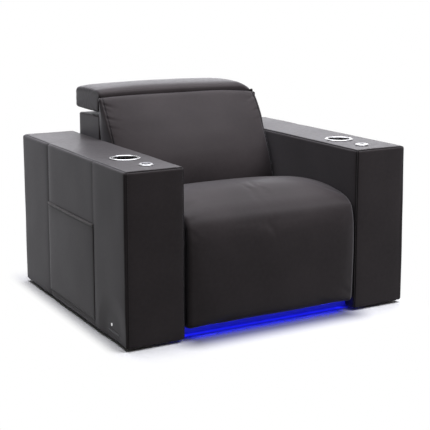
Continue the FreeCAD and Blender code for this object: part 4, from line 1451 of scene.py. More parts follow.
def inflate(obj: bpy.types.Object, held: np.ndarray, cap: float, share: float, foam: Foam = Foam()) -> None:
    """Swells a padded piece by a short cloth simulation and keeps the result.

    Args:
        obj: the piece, at the origin.
        held: which vertices rest on something and stay.
        cap: most that a point may move.
        share: part of the movement that is kept.
        foam: the stuffing.
    """
    scene = bpy.context.scene
    scene.frame_set(1)
    start = coordinates(obj.data)
    group = obj.vertex_groups.new(name="held")
    group.add([int(k) for k in np.nonzero(held)[0]], 1.0, "REPLACE")
    cloth = obj.modifiers.new("swell", "CLOTH")
    settings = cloth.settings
    settings.quality = foam.quality
    settings.mass = foam.mass
    settings.tension_stiffness = foam.stretch
    settings.compression_stiffness = foam.stretch
    settings.shear_stiffness = foam.shear
    settings.bending_stiffness = foam.bend
    settings.use_pressure = True
    settings.uniform_pressure_force = foam.pressure
    settings.effector_weights.gravity = 0.0
    settings.vertex_group_mass = "held"
    cloth.collision_settings.use_collision = False
    cloth.point_cache.frame_start = 1
    cloth.point_cache.frame_end = foam.frames
    for step in range(1, foam.frames + 1):
        scene.frame_set(step)
    graph = bpy.context.evaluated_depsgraph_get()
    end = coordinates(obj.evaluated_get(graph).data)
    obj.modifiers.remove(cloth)
    obj.vertex_groups.remove(group)
    scene.frame_set(1)
    moved = end - start
    length = np.linalg.norm(moved, axis=1, keepdims=True)
    kept = moved * share * cap / (cap + share * length + 1e-9)
    kept[~np.isfinite(kept)] = 0.0
    move_to(obj.data, start + kept)


# Sub-assemblies


@dataclass
class Arm:
    """One padded arm: top, front, side and rear panels sewn over the carcase, and the flat pocket."""

    side: Side
    finishes: Finishes
    edge_radius: float = 0.011
    wall: float = 0.020
    foot_lift: float = 0.001
    rear_seam: float = 0.2155
    front_seam: float = -0.2205
    grid: float = 0.013
    cup_hole: float = 0.0445
    dock_hole: float = 0.0175
    hole_steps: int = 56
    rim_roll: float = 0.0024
    pocket_belly: float = 0.0035
    swell: float = 0.0035
    foot_flare: float = 0.0055
    flare_height: float = 0.45
    tag_place: tuple[float, float] = (-0.376, 0.048)

    def __post_init__(self) -> None:
        """Reads the arm's place from the frame."""
        lo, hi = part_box(f"{self.side.hand}_arm_cover")
        self.low = np.array(lo) + (0.0, 0.0, self.foot_lift)
        self.high = np.array(hi)
        sign = self.side.value
        self.outer_x = self.high[0] if sign > 0 else self.low[0]
        self.inner_x = self.low[0] if sign > 0 else self.high[0]
        self.cup = self.centre(f"{self.side.hand}_cup_holder")
        self.dock = self.centre("accessory_dock" if sign > 0 else "switch_bezel")

    @staticmethod
    def centre(node: str) -> np.ndarray:
        """The middle of a CAD node, in plan."""
        lo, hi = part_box(node)
        return np.array([(lo.x + hi.x) / 2, (lo.y + hi.y) / 2])

    def box(self) -> RoundedBox:
        """The arm's surface grid, fine at its edges, seams and holes.

        Returns:
            The rounded box.
        """
        r = self.edge_radius
        y_fine = [(self.rear_seam, 0.004, 0.0014), (self.front_seam, 0.004, 0.0014)]
        y_fine += [(self.cup[1], 0.046, 0.006), (self.dock[1], 0.018, 0.006)]
        y_fine += [(self.low[1] + r, 0.004, 0.003), (self.high[1] - r, 0.004, 0.003)]
        x_fine = [(self.low[0] + r, 0.004, 0.003), (self.high[0] - r, 0.004, 0.003)]
        z_fine = [(self.high[2] - r, 0.006, 0.003), (self.low[2] + r, 0.004, 0.004)]
        lines = []
        for axis, fine in enumerate((x_fine, y_fine, z_fine)):
            lo, hi = self.low[axis], self.high[axis]
            middle = even_lines(lo, hi, self.grid, fine)
            if axis < 2:
                middle = np.sort(np.concatenate([middle, [lo + self.wall, hi - self.wall]]))
                middle = middle[np.concatenate([[True], np.diff(middle) > 2e-4])]
            lines.append(RoundedBox.edge_lines(lo, hi, r, middle))
        return RoundedBox(self.low, self.high, r, tuple(lines), self.wall)

    def seams(self, box: RoundedBox) -> list[Seam]:
        """The arm's sewn lines, laid on the rounded box.

        Args:
            box: the arm's box.

        Returns:
            The seams.
        """
        r = self.edge_radius
        lo, hi = self.low, self.high
        sign = self.side.value
        inset = 0.30 * r
        loop = [
            (lo[0] + inset, lo[1] + inset, hi[2]),
            (hi[0] - inset, lo[1] + inset, hi[2]),
            (hi[0] - inset, hi[1] - inset, hi[2]),
            (lo[0] + inset, hi[1] - inset, hi[2]),
            (lo[0] + inset, lo[1] + inset, hi[2]),
        ]
        made = [
            self.seam(box, loop, depth=0.0034, width=0.0021, shoulder=0.0008, reach=0.007, rows=(-0.0055,))
        ]
        x0, x1 = self.inner_x, self.outer_x
        top, foot = hi[2] - 0.2 * r, lo[2] + 0.2 * r
        near = 0.5 * r
        upright = [
            ((x0, lo[1] + near), 0.0018, (0.0045,)),
            ((x0 + sign * near, lo[1]), 0.0018, (-0.0045,)),
            ((x1 - sign * 0.35 * r, lo[1]), 0.0016, (0.0045,)),
            ((x1 - sign * 0.35 * r, hi[1]), 0.0020, (0.0045,)),
            ((x0 + sign * 0.35 * r, hi[1]), 0.0020, (0.0045,)),
        ]
        for (x, y), depth, rows in upright:
            made.append(self.seam(box, [(x, y, foot), (x, y, top)], depth=depth, width=0.0015, rows=rows))
        deep = dict(depth=0.0036, width=0.0021, shoulder=0.0030, reach=0.016, rows=(0.005, -0.005))
        slight = dict(depth=0.0019, width=0.0016, shoulder=0.0012, rows=(0.005, -0.005))
        made.append(self.seam(box, [(x1, self.rear_seam, foot), (x1, self.rear_seam, top)], **deep))
        made.append(self.seam(box, [(x1, self.front_seam, foot), (x1, self.front_seam, top)], **slight))
        return made

    @staticmethod
    def seam(box: RoundedBox, corners: Sequence[Sequence[float]], **sizes: object) -> Seam:
        """A seam through corners on the sharp box, moved onto the rounded one.

        Args:
            box: the rounded box.
            corners: the corners.
            sizes: sizes of the seam.

        Returns:
            The seam.
        """
        corners = np.array(corners, float)
        length = np.linalg.norm(np.diff(corners, axis=0), axis=1).sum()
        return Seam(box.rounded(evenly(corners, int(length / SEAM_STEP))), **sizes)

    def bored(self, obj: bpy.types.Object) -> None:
        """Cuts the holes for the cup holder and for the switch or dock.

        Args:
            obj: the cover.
        """
        cutter = bmesh.new()
        for centre, radius in ((self.cup, self.cup_hole), (self.dock, self.dock_hole)):
            made = bmesh.ops.create_cone(cutter, cap_ends=True, segments=self.hole_steps, radius1=radius,
                                         radius2=radius, depth=0.05)
            bmesh.ops.translate(cutter, verts=made["verts"], vec=(*centre, self.high[2] - 0.012))
        mesh = bpy.data.meshes.new("hole_cutter")
        cutter.to_mesh(mesh)
        cutter.free()
        tool = new_object("hole_cutter", mesh)
        cut = obj.modifiers.new("holes", "BOOLEAN")
        cut.operation = "DIFFERENCE"
        cut.solver = "EXACT"
        cut.object = tool
        baked(obj)
        bpy.data.objects.remove(tool)

    def fill_out(self, obj: bpy.types.Object) -> None:
        """Swells the outer side, more towards the foot of the right arm.

        Args:
            obj: the cover.
        """
        here = coordinates(obj.data)
        sign = self.side.value
        width = self.high[0] - self.low[0]
        across = np.clip(sign * (here[:, 0] - self.inner_x) / width, 0.0, 1.0)
        below = np.clip((self.high[2] - here[:, 2]) / self.flare_height, 0.0, 1.0)
        outside = sign * (here[:, 0] - self.outer_x) > -0.6 * self.wall
        from_tag = np.linalg.norm(here[:, 1:] - self.tag_place, axis=1)
        clear = 1.0 if sign > 0 else np.clip((from_tag - 0.06) / 0.06, 0.0, 1.0)
        here[:, 0] += sign * across * outside * clear * (self.swell + self.foot_flare * max(0, sign) * below)
        move_to(obj.data, here)

    def dimple(self, obj: bpy.types.Object) -> None:
        """Lets the leather sink slightly under the two round flanges.

        Args:
            obj: the cover.
        """
        here = coordinates(obj.data)
        on_top = here[:, 2] > self.high[2] - 0.004
        for centre, reach in ((self.cup, 0.056), (self.dock, 0.027)):
            far = np.linalg.norm(here[:, :2] - centre, axis=1)
            press = 0.0011 * np.exp(-(np.clip(far - reach, 0.0, None) / 0.009) ** 2)
            here[on_top, 2] -= press[on_top]
        move_to(obj.data, here)

    def build(self) -> tuple[bpy.types.Object, list]:
        """Makes the padded cover.

        Returns:
            The cover and its stitch lines.
        """
        box = self.box()
        name = f"{self.side.hand}_arm_upholstery"
        obj = new_object(name, box.mesh(name), self.finishes.leather)
        self.bored(obj)
        self.fill_out(obj)
        work = Upholstery(obj, self.seams(box), unevenness=0.0011, patch=7.0, seed=3.0 + self.side.value)
        work.sew()
        self.dimple(obj)
        rows = work.rows()
        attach(obj, "base")
        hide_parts(f"{self.side.hand}_arm_cover")
        LOG.info("%s: %d faces", name, len(obj.data.polygons))
        return obj, rows

    def pocket(self) -> tuple[bpy.types.Object, list]:
        """Makes the flat pocket: a leather sheet with a rolled rim that carries a painted highlight, slightly
        bellied.

        Returns:
            The pocket and its stitch lines.
        """
        lo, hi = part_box(f"{self.side.hand}_side_pocket")
        sign = self.side.value
        ys = even_lines(lo.y, hi.y, 0.010, [(lo.y, 0.004, 0.002), (hi.y, 0.004, 0.002)])
        zs = even_lines(lo.z, hi.z, 0.012, [(hi.z, 0.016, 0.0012), (lo.z, 0.006, 0.003)])
        y, z = np.meshgrid(ys, zs, indexing="ij")
        across = (y - lo.y) / (hi.y - lo.y)
        up = (z - lo.z) / (hi.z - lo.z)
        belly = self.pocket_belly * np.sin(np.pi * across) ** 0.7
        belly = belly * np.sin(np.pi * np.clip(up, 0, 1) * 0.62 + 0.1) ** 1.2
        below_rim = hi.z - z
        bead = self.rim_roll * np.sqrt(np.clip(1.0 - ((below_rim - 0.0042) / 0.0042) ** 2, 0.0, 1.0))
        hem = -0.0006 * np.exp(-(((below_rim - 0.0105) / 0.0016) ** 2))
        tuck = -0.0012 * np.exp(-np.minimum(y - lo.y, hi.y - y) / 0.006)
        low_down = np.clip((self.high[2] - z) / self.flare_height, 0.0, 1.0)
        skin = abs(self.outer_x) - 0.0006 + self.swell + self.foot_flare * max(0, sign) * low_down
        thick = 0.0022 + belly + bead + hem + tuck
        front = np.stack([sign * (skin + thick), y, z], axis=-1)
        back = np.stack([sign * (skin + np.minimum(0.6 * belly, thick - 0.0012)), y, z], axis=-1)
        points = np.vstack([front.reshape(-1, 3), back.reshape(-1, 3)])
        ny, nz = y.shape
        index = np.arange(ny * nz).reshape(ny, nz)
        faces = []
        for sheet, shift in ((index, 0), (index, ny * nz)):
            a = sheet[:-1, :-1].ravel() + shift
            b = sheet[1:, :-1].ravel() + shift
            c = sheet[1:, 1:].ravel() + shift
            d = sheet[:-1, 1:].ravel() + shift
            faces += np.column_stack([a, b, c, d]).tolist()
        rim = np.concatenate([index[:-1, 0], index[-1, :-1], index[:0:-1, -1], index[0, :0:-1]])
        for a, b in zip(rim, np.roll(rim, -1)):
            faces.append((a, b, b + ny * nz, a + ny * nz))
        name = f"{self.side.hand}_pocket_panel"
        obj = new_object(name, build_mesh(name, points, faces), self.finishes.leather)
        hem_x = sign * (float(skin.max()) + 0.001)
        along = np.linspace(lo.y + 0.004, hi.y - 0.004, 60)
        path = np.column_stack([np.full_like(along, hem_x), along, np.full_like(along, hi.z - 0.0105)])
        # painted shade along the hem stitching
        stitched = Seam(path, depth=0.0003, width=0.0012, shoulder=0.0, dark=0.6, rows=(0.0,))
        work = Upholstery(obj, [stitched], unevenness=0.0007, patch=8.0)
        work.sew()
        height = coordinates(obj.data)[:, 2]
        # painted highlight along the top of the rim, where light catches the rolled edge
        store(obj.data, "painted_rim_highlight", 0.75 * np.clip((height - hi.z + 0.0062) / 0.002, 0.0, 1.0))
        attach(obj, "base")
        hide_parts(f"{self.side.hand}_side_pocket")
        LOG.info("%s: %d faces", name, len(obj.data.polygons))
        return obj, work.rows()


@dataclass
class Chaise:
    """The one-piece cushion: over the seat, round the nose and down the front as the leg pad."""

    finishes: Finishes
    half: float = 0.345
    nose: Point = (0.0, -0.4685, 0.4240)
    fold: float = 0.062
    seat_steps: int = 48
    nose_steps: int = 14
    front_steps: int = 42
    shrink: float = 0.0022

    def joined(self, seat: Curve2D, nose: Curve2D, front: Curve2D) -> np.ndarray:
        """One curve over the seat, round the nose and down the front.

        Args:
            seat: points over the seat, from its rear.
            nose: points round the nose.
            front: points down the leg pad.

        Returns:
            The curve, in the same steps for each side of the cushion.
        """
        parts = [curve_through(seat, self.seat_steps)]
        parts.append(curve_through(nose, self.nose_steps)[1:])
        parts.append(curve_through(front, self.front_steps)[1:])
        return np.vstack(parts)

    def outer(self, x: float) -> np.ndarray:
        """Shown skin at x, from the rear of the seat to the foot of the pad.

        Args:
            x: place across the seat.

        Returns:
            Plane points (y, z).
        """
        r = 0.028 * crown(x, self.half, 3.6)
        side = 1.0 - crown(x, self.half, 9.0)
        seat = [
            (0.057, 0.420 + 0.35 * r),
            (-0.010, 0.427 + 0.52 * r),
            (-0.090, 0.4385 + 0.78 * r),
            (-0.175, 0.450 + 0.93 * r),
            (-0.250, 0.4600 + r),
            (-0.310, 0.4620 + 0.95 * r),
            (-0.365, 0.4580 + 0.72 * r),
            (-0.408, 0.4515 + 0.45 * r),
        ]
        nose = [
            (-0.408, 0.4515 + 0.45 * r),
            (-0.436, 0.4450 + 0.26 * r),
            (-0.459, 0.4340 + 0.12 * r),
            (-0.476, 0.4190 + 0.04 * r),
            (-0.4865, 0.4000),
            (-0.4925, 0.3790),
        ]
        front = [
            (-0.4925, 0.3790),
            (-0.4975, 0.3480),
            (-0.5000, 0.3080),
            (-0.5010, 0.2500),
            (-0.5000, 0.1800),
            (-0.4985, 0.1100),
            (-0.4965, 0.0680),
            (-0.4925, 0.0500),
            (-0.4845, 0.0400),
        ]
        line = self.joined(seat, nose, front)
        line[:, 1] -= 0.006 * side * np.clip((line[:, 1] - 0.36) / 0.06, 0.0, 1.0)
        line[:, 0] += 0.0015 * side
        return line

    def inner(self, x: float) -> np.ndarray:
        """Hidden side at x, from the rear of the seat to the foot of the pad.

        Args:
            x: place across the seat; the boards are the same all along.

        Returns:
            Plane points (y, z).
        """
        seat = [(0.057, 0.3545), (-0.100, 0.3545), (-0.240, 0.3545), (-0.318, 0.3550)]
        nose = [
            (-0.318, 0.3550),
            (-0.352, 0.3610),
            (-0.395, 0.3790),
            (-0.424, 0.3960),
            (-0.4355, 0.3965),
            (-0.4381, 0.3850),
        ]
        front = [
            (-0.4381, 0.3850),
            (-0.4384, 0.3000),
            (-0.4384, 0.1500),
            (-0.4384, 0.0560),
            (-0.4400, 0.0440),
            (-0.4470, 0.0385),
        ]
        return self.joined(seat, nose, front)

    def seams(self) -> list[Seam]:
        """The sewn line low on each side, where the top panel meets the side panel.

        Returns:
            The seams.
        """
        made = []
        for side in Side:
            line = self.outer(0.98 * self.half)[4:-3]
            ahead = np.gradient(line, axis=0)
            ahead /= np.linalg.norm(ahead, axis=1, keepdims=True)
            drawn = line + np.column_stack([-ahead[:, 1], ahead[:, 0]]) * 0.020
            path = np.column_stack([np.full(len(drawn), side.value * self.half), drawn])
            made.append(Seam(path, depth=0.0014, width=0.0022, shoulder=0.0008, rows=(0.0045,)))
        return made

    def build(self) -> tuple[bpy.types.Object, list]:
        """Makes the cushion, in one piece over the seat, round the nose and down the leg rest.

        Returns:
            The cushion and its stitch lines.
        """
        name = "chaise_cushion"
        block = PaddedBlock(
            name, self.half, self.outer, self.inner, edge=0.016, step=0.0095, ribs=7, bow=(0.003, 0.003)
        )
        obj = new_object(name, block.mesh(), self.finishes.leather)
        mesh = obj.data
        move_to(mesh, coordinates(mesh) - normals(mesh) * self.shrink)
        here = coordinates(mesh)
        x, y, z = here.T
        on_boards = (y > 0.045) | ((z < 0.360) & (y > -0.43)) | ((y > -0.4425) & (z < 0.40))
        sides = np.abs(x) > self.half - 0.003
        inflate(obj, on_boards | sides, cap=0.009, share=0.6)
        subdivided(obj)
        work = Upholstery(obj, self.seams(), unevenness=0.0016, patch=5.0, seed=11.0)
        work.sew()
        rows = work.rows()
        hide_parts("seat_cushion", "leg_cushion")
        self.bend(obj)
        LOG.info("%s: %d faces", name, len(obj.data.polygons))
        return obj, rows

    def bend(self, obj: bpy.types.Object) -> None:
        """Bakes a piece's transform into its mesh; it does not bend the piece.

        Args:
            obj: the cushion, or the stitches on it.
        """
        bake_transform(obj)


@dataclass
class BackCushion:
    """Wedge back cushion: full at the waist, thin at the top, with side gussets."""

    finishes: Finishes
    half: float = 0.345
    rear: float = 0.2431
    foot: float = 0.358
    arm_top: float = 0.612
    flare: float = 0.014
    steps: int = 50
    wrinkle_width: float = 0.0042
    wrinkles: tuple[tuple[float, float, float], ...] = (
        (0.738, 0.030, 0.0017),
        (0.724, 0.022, 0.0012),
        (0.706, 0.034, 0.0019),
        (0.688, 0.024, 0.0012),
        (0.664, 0.030, 0.0012),
        (0.636, 0.022, 0.0007),
    )

    def top_lift(self, x: float) -> float:
        """How far the top edge rises in the middle, and falls to the right."""
        return 0.005 * crown(x, self.half) - (0.009 * max(0.0, x / self.half) ** 3)

    def outer(self, x: float) -> np.ndarray:
        """Front face at x, from the foot to the top edge.

        Args:
            x: place across the back.

        Returns:
            Plane points (y, z).
        """
        b = 0.013 * crown(x, self.half, 3.2)
        lift = self.top_lift(x)
        keys = [
            (0.0700, self.foot),
            (0.0640 - 0.2 * b, 0.4000),
            (0.0640 - 0.5 * b, 0.4350),
            (0.0740 - 0.9 * b, 0.4800),
            (0.0930 - b, 0.5300),
            (0.1120 - b, 0.5700),
            (0.1330 - b, 0.6100),
            (0.1520 - 0.8 * b, 0.6450),
            (0.1720 - 0.6 * b, 0.6810),
            (0.1960 - 0.4 * b, 0.7180),
            (0.2130 - 0.2 * b, 0.7430 + 0.4 * lift),
            (0.2195, 0.7540 + lift),
            (0.2265, 0.7610 + lift),
        ]
        return curve_through(keys, self.steps)

    def inner(self, x: float) -> np.ndarray:
        """Rear face at x, against the back board.

        Args:
            x: place across the back.

        Returns:
            Plane points (y, z).
        """
        lift = self.top_lift(x)
        keys = [
            (self.rear - 0.002, self.foot + 0.002),
            (self.rear, 0.400),
            (self.rear, 0.600),
            (self.rear, 0.700),
            (self.rear - 0.0005, 0.7480 + lift),
            (self.rear - 0.0035, 0.7590 + lift),
        ]
        return curve_through(keys, self.steps)

    def seams(self) -> list[Seam]:
        """The sewn line down each front corner.

        Returns:
            The seams.
        """
        made = []
        for side in Side:
            line = self.outer(side.value * 0.968 * self.half)[10:]
            across = np.full(len(line), side.value * (self.half - 0.0075))
            path = np.column_stack([across, line[:, 0] + 0.0028, line[:, 1]])
            made.append(Seam(path, depth=0.0028, width=0.0024, shoulder=0.0030, reach=0.014, rows=(0.0048,)))
        return made

    def puckers(self, obj: bpy.types.Object) -> None:
        """Short pull wrinkles that run in from the upper part of each corner seam.

        Args:
            obj: the cushion.
        """
        here = coordinates(obj.data)
        out = normals(obj.data)
        press = np.zeros(len(here))
        for side in Side:
            for k, (z, length, depth) in enumerate(self.wrinkles):
                rise = z - 0.22 * length * (k % 3)
                along = self.half - 0.006 - side.value * here[:, 0]
                slope = (0.30 + 0.12 * (k % 2)) * along
                across = (here[:, 2] - rise + slope) / self.wrinkle_width
                fade = np.exp(-((np.clip(along, 0, None) / length) ** 2)) * (along > -0.004)
                front = out[:, 1] < -0.2
                press += front * fade * depth * (np.exp(-(across**2)) - 0.45 * np.exp(-((across - 1.9) ** 2)))
        move_to(obj.data, here - out * press[:, None])

    def build(self) -> tuple[bpy.types.Object, list]:
        """Makes the cushion.

        Returns:
            The cushion and its stitch lines.
        """
        name = "back_cushion_cover"
        block = PaddedBlock(
            name,
            self.half,
            self.outer,
            self.inner,
            edge=0.012,
            step=0.0095,
            ribs=9,
            bow=(0.002, 0.006),
            pillow=0.0022,
            soften=0.012,
        )
        obj = new_object(name, block.mesh(), self.finishes.leather)
        here = coordinates(obj.data)
        spread = np.clip((here[:, 2] - self.arm_top) / 0.05, 0.0, 1.0)
        here[:, 0] *= 1.0 + self.flare * spread
        move_to(obj.data, here)
        x, y, z = here.T
        held = (y > self.rear - 0.004) | (np.abs(x) > self.half - 0.003) | (z < self.foot + 0.008)
        inflate(obj, held, cap=0.008, share=0.5)
        subdivided(obj)
        work = Upholstery(obj, self.seams(), unevenness=0.0018, patch=5.5, seed=21.0)
        work.sew()
        self.puckers(obj)
        rows = work.rows()
        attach(obj, "back")
        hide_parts("back_cushion")
        LOG.info("%s: %d faces", name, len(obj.data.polygons))
        return obj, rows


@dataclass
class Headrest:
    """Headrest roll, folded back flat over the back box, with sewn end panels."""

    finishes: Finishes
    half: float = 0.3455
    low: float = 0.7026
    top: float = 0.7955
    steps: int = 44

    def end_drop(self, x: float) -> float:
        """How far the top falls towards the two ends, more on the right."""
        past = max(0.0, (abs(x) - 0.285) / 0.06)
        return -(0.024 if x > 0 else 0.003) * past**1.6

    def outer(self, x: float) -> np.ndarray:
        """Front, top and rear of the roll at x.

        Args:
            x: place across the roll.

        Returns:
            Plane points (y, z).
        """
        high = self.top + 0.0065 * crown(x, self.half, 2.0) + self.end_drop(x)
        keys = [
            (0.2450, 0.7350),
            (0.2442, 0.7500),
            (0.2433, 0.7660),
            (0.2430, high - 0.0220),
            (0.2470, high - 0.0135),
            (0.2570, high - 0.0070),
            (0.2740, high - 0.0030),
            (0.3080, high - 0.0006),
            (0.3790, high),
            (0.4450, high - 0.0020),
            (0.4730, high - 0.0065),
            (0.4850, high - 0.0165),
            (0.4905, 0.7600),
            (0.4910, 0.7380),
        ]
        return curve_through(keys, self.steps)

    def inner(self, x: float) -> np.ndarray:
        """Underside of the roll at x.

        Args:
            x: place across the roll; its board is the same all along.

        Returns:
            Plane points (y, z).
        """
        keys = [
            (0.2500, 0.7150),
            (0.2560, 0.7055),
            (0.2680, self.low + 0.0004),
            (0.3200, self.low),
            (0.4400, self.low),
            (0.4760, self.low + 0.0005),
            (0.4860, 0.7062),
            (0.4900, 0.7150),
        ]
        return curve_through(keys, self.steps)

    def seams(self) -> list[Seam]:
        """The sewn line round each end panel.

        Returns:
            The seams.
        """
        made = []
        for side in Side:
            line = self.outer(0.97 * self.half)
            low = self.inner(0.97 * self.half)[::-1]
            loop = np.vstack([line, low, line[:1]])
            centre = loop.mean(axis=0)
            loop = centre + (loop - centre) * np.array([0.972, 0.93])
            path = np.column_stack([np.full(len(loop), side.value * (self.half - 0.004)), loop])
            made.append(Seam(path, depth=0.0026, width=0.0021, shoulder=0.0024, reach=0.010, rows=(0.0045,)))
        return made

    def puckers(self, obj: bpy.types.Object) -> None:
        """Gathers along the end seams.

        Args:
            obj: the roll.
        """
        here = coordinates(obj.data)
        out = normals(obj.data)
        along = self.half - np.abs(here[:, 0])
        fade = np.exp(-(((along - 0.012) / 0.016) ** 2))
        turn = np.arctan2(here[:, 2] - 0.755, here[:, 1] - 0.367)
        wave = np.sin(turn * 19.0 + np.sign(here[:, 0])) * np.sin(turn * 7.0 + 1.0)
        move_to(obj.data, here + out * (0.0007 * fade * wave)[:, None])

    def build(self) -> tuple[bpy.types.Object, list]:
        """Makes the roll.

        Returns:
            The roll and its stitch lines.
        """
        name = "headrest_roll"
        block = PaddedBlock(
            name,
            self.half,
            self.outer,
            self.inner,
            edge=0.009,
            step=0.0090,
            ribs=5,
            bow=(0.002, 0.002),
            pillow=0.001,
            soften=0.010,
        )
        obj = new_object(name, block.mesh(), self.finishes.leather)
        here = coordinates(obj.data)
        x, y, z = here.T
        held = (z < self.low + 0.004) | (np.abs(x) > self.half - 0.003) | (y < 0.2455)
        inflate(obj, held, cap=0.006, share=0.4)
        subdivided(obj)
        work = Upholstery(obj, self.seams(), unevenness=0.0009, patch=7.0, seed=31.0)
        work.sew()
        self.puckers(obj)
        rows = work.rows()
        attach(obj, "headrest")
        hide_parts("headrest_cushion")
        LOG.info("%s: %d faces", name, len(obj.data.polygons))
        return obj, rows


@dataclass
class LeatherBox:
    """A flat-sided upholstered box, such as the back box or the rear panel, with sewn panels."""

    name: str
    node: str
    body: str
    finishes: Finishes
    radius: float
    grid: float
    uprights: tuple[float, ...]
    levels: tuple[float, ...] = ()
    puff: float = 0.0022
    seed: float = 0.0
    forward: float = 0.0

    def __post_init__(self) -> None:
        """Reads the box's place from the frame."""
        lo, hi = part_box(self.node)
        self.low = np.array(lo) - (0.0, self.forward, 0.0)
        self.high = np.array(hi)

    def box(self) -> RoundedBox:
        """The surface grid, fine at edges and seams.

        Returns:
            The rounded box.
        """
        r = self.radius
        fine = [[(x, 0.004, 0.0016) for x in self.uprights], [], [(z, 0.004, 0.0016) for z in self.levels]]
        lines = []
        for axis in range(3):
            lo, hi = self.low[axis], self.high[axis]
            spots = fine[axis] + [(lo + r, 0.003, 0.003), (hi - r, 0.003, 0.003)]
            lines.append(RoundedBox.edge_lines(lo, hi, r, even_lines(lo, hi, self.grid, spots), 6))
        return RoundedBox(self.low, self.high, r, tuple(lines))

    def seams(self, box: RoundedBox) -> list[Seam]:
        """Seams round the rear face and across it.

        Args:
            box: the upholstered box.

        Returns:
            The seams.
        """
        lo, hi, r = self.low, self.high, self.radius
        t = 0.35 * r
        left, right, foot, top = lo[0] + t, hi[0] - t, lo[2] + t, hi[2] - t
        rear = [
            (x, hi[1], z) for x, z in ((left, foot), (right, foot), (right, top), (left, top), (left, foot))
        ]
        made = [Arm.seam(box, rear, depth=0.0022, width=0.0018, shoulder=self.puff, rows=(0.005,))]
        lines = [[(x, hi[1], foot), (x, hi[1], top)] for x in self.uprights]
        lines += [[(left, hi[1], z), (right, hi[1], z)] for z in self.levels]
        style = dict(depth=0.0020, width=0.0017, shoulder=self.puff, rows=(0.005, -0.005))
        return made + [Arm.seam(box, line, **style) for line in lines]

    def build(self) -> tuple[bpy.types.Object, list]:
        """Makes the upholstered box.

        Returns:
            The piece and its stitch lines.
        """
        box = self.box()
        obj = new_object(self.name, box.mesh(self.name), self.finishes.leather)
        work = Upholstery(obj, self.seams(box), unevenness=0.0012, patch=6.0, seed=self.seed)
        work.sew()
        rows = work.rows()
        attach(obj, self.body)
        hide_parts(self.node)
        LOG.info("%s: %d faces", self.name, len(obj.data.polygons))
        return obj, rows


@dataclass
class Hardware:
    """Screws that hold the boards and brackets."""

    finishes: Finishes
    panel_columns: tuple[float, ...] = (-0.30, -0.10, 0.10, 0.30)
    panel_rows: tuple[float, ...] = (0.085, 0.275)
    panel_sunk: float = 0.0004
    flange: float = 0.3355
    flange_thick: float = 0.0040
    flange_end: float = 0.014

    def points(self) -> dict[str, list[tuple[Point, Point]]]:
        """Screw places and outward directions for each body.

        Returns:
            (place, direction) pairs by body.
        """
        rearward = (0.0, 1.0, 0.0)
        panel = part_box("rear_panel")[1]
        places = [(x, panel.y - self.panel_sunk, z) for x in self.panel_columns for z in self.panel_rows]
        made = {"base": [(place, rearward) for place in places], "leg_rest": []}
        for side in Side:
            lo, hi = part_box(f"{side.hand}_leg_bracket")
            for z in (lo.z + self.flange_end, (lo.z + hi.z) / 2, hi.z - self.flange_end):
                place = (side.value * self.flange, lo.y + self.flange_thick, z)
                made["leg_rest"].append((place, rearward))
        return made

    def build(self) -> None:
        """Sets the screw heads, one mesh for each body."""
        tree = ScrewTree()
        for body, places in self.points().items():
            mesh = bpy.data.meshes.new(f"{body}_screws")
            mesh.from_pydata([p for p, _ in places], [], [])
            up = mesh.attributes.new("up", "FLOAT_VECTOR", "POINT")
            up.data.foreach_set("vector", np.array([d for _, d in places], np.float32).ravel())
            obj = new_object(f"{body}_screws", mesh)
            by_slot = self.finishes.by_slot
            tree.run(obj, {"Material": by_slot["bright_steel"], "Socket Material": by_slot["black_plastic"]})
            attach(obj, body)
            LOG.info("%s_screws: %d", body, len(places))


@dataclass(frozen=True)
class Lamp:
    """One soft rectangular lamp: where it is, what it faces, its size in metres and its watts."""

    name: str
    place: Point
    aim: Point
    size: tuple[float, float]
    power: float
    tint: Colour = (0.97, 0.975, 1.03)


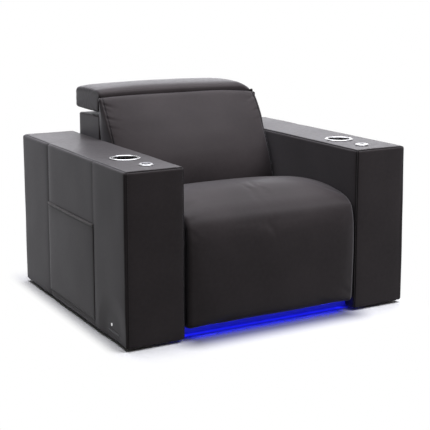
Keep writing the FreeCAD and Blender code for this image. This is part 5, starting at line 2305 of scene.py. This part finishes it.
@dataclass
class Studio:
    """Pale floor, soft light and the camera at the photograph's angle."""

    place: Point = (-1.9271, -3.5083, 1.2072)
    azimuth: float = -29.185
    elevation: float = 9.923
    lens: float = 88.03
    shift: float = -0.1163
    sensor: float = 36.0
    world_light: float = 0.06
    floor_reach: float = 30.0
    lamps: tuple[Lamp, ...] = (
        Lamp("overhead", (0.1, 0.2, 3.0), (0.0, 0.0, 0.0), (3.4, 2.8), 104.0),
        Lamp("rear_sheen", (2.9, 5.2, 1.9), (0.0, 0.0, 0.5), (5.5, 3.2), 90.0),
        Lamp("front_key", (1.9, -2.0, 3.4), (0.0, 0.1, 0.6), (2.0, 1.6), 78.0),
        Lamp("strip_glow", (0.0, -0.440, 0.020), (0.0, -0.62, 0.0), (0.62, 0.010), 0.42, (0.02, 0.03, 1.0)),
    )

    def camera(self) -> None:
        """Makes the camera."""
        a, e = math.radians(self.azimuth), math.radians(self.elevation)
        back = Vector((math.sin(a) * math.cos(e), -math.cos(a) * math.cos(e), math.sin(e)))
        data = bpy.data.cameras.new("camera")
        data.lens = self.lens
        data.sensor_width = self.sensor
        data.shift_y = self.shift
        made = bpy.data.objects.new("camera", data)
        made.location = self.place
        made.rotation_mode = "QUATERNION"
        made.rotation_quaternion = (-back).to_track_quat("-Z", "Y")
        bpy.context.scene.collection.objects.link(made)
        bpy.context.scene.camera = made

    def floor(self) -> None:
        """Makes the floor."""
        mesh = bpy.data.meshes.new("floor")
        far = self.floor_reach
        mesh.from_pydata([(-far, -far, 0), (far, -far, 0), (far, far, 0), (-far, far, 0)], [], [(0, 1, 2, 3)])
        made = new_object("floor", mesh, FloorFinish().material())

    @staticmethod
    def light(lamp: Lamp) -> None:
        """Adds one soft lamp.

        Args:
            lamp: its place, size and strength.
        """
        data = bpy.data.lights.new(lamp.name, "AREA")
        data.shape = "RECTANGLE"
        data.size, data.size_y = lamp.size
        data.energy = lamp.power
        data.color = lamp.tint
        made = bpy.data.objects.new(lamp.name, data)
        made.location = lamp.place
        made.rotation_mode = "QUATERNION"
        made.rotation_quaternion = (Vector(lamp.aim) - Vector(lamp.place)).to_track_quat("-Z", "Y")
        bpy.context.scene.collection.objects.link(made)

    def world(self) -> None:
        """Makes the white surroundings, dimmer where they only light the seat."""
        world = bpy.data.worlds.new("surroundings")
        world.use_nodes = True
        b = NodeBuilder(world.node_tree)
        b.tree.nodes.clear()
        strength = b.node("ShaderNodeMapRange", {0: b.seen(), 3: self.world_light, 4: 1.0}).outputs[0]
        sky = b.node("ShaderNodeBackground", {"Color": WHITE, "Strength": strength})
        b.node("ShaderNodeOutputWorld", {"Surface": sky.outputs[0]})
        bpy.context.scene.world = world

    def build(self) -> None:
        """Makes the studio."""
        self.camera()
        self.floor()
        self.world()
        for lamp in self.lamps:
            self.light(lamp)
        bpy.context.scene.view_settings.view_transform = "Standard"


def main() -> None:
    """Builds the seat's looks piece by piece."""
    logging.basicConfig(level=logging.INFO, format="%(message)s")
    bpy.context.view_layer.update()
    finishes = Finishes()
    finishes.dress_frame()
    Studio().build()
    sewing = Sewing(finishes)
    base_rows: list = []
    for side in Side:
        arm = Arm(side, finishes)
        base_rows += arm.build()[1]
        base_rows += arm.pocket()[1]
    panel = LeatherBox(
        "rear_panel_cover", "rear_panel", "base", finishes, 0.006, 0.014, (-0.115, 0.115), (), 0.0016, 41.0
    )
    base_rows += panel.build()[1]
    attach(sewing.stitches("base_stitches", base_rows, 3), "base")
    chaise = Chaise(finishes)
    _, rows = chaise.build()
    chaise.bend(sewing.stitches("chaise_stitches", rows, 9))
    _, rows = BackCushion(finishes).build()
    shell = LeatherBox(
        "back_box_cover",
        "back_shell",
        "back",
        finishes,
        0.009,
        0.013,
        (-0.125, 0.125),
        (0.600,),
        0.0020,
        51.0,
        0.0148,
    )
    rows += shell.build()[1]
    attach(sewing.stitches("back_stitches", rows, 5), "back")
    _, rows = Headrest(finishes).build()
    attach(sewing.stitches("headrest_stitches", rows, 7), "headrest")
    Hardware(finishes).build()


if __name__ == "__main__":
    main()
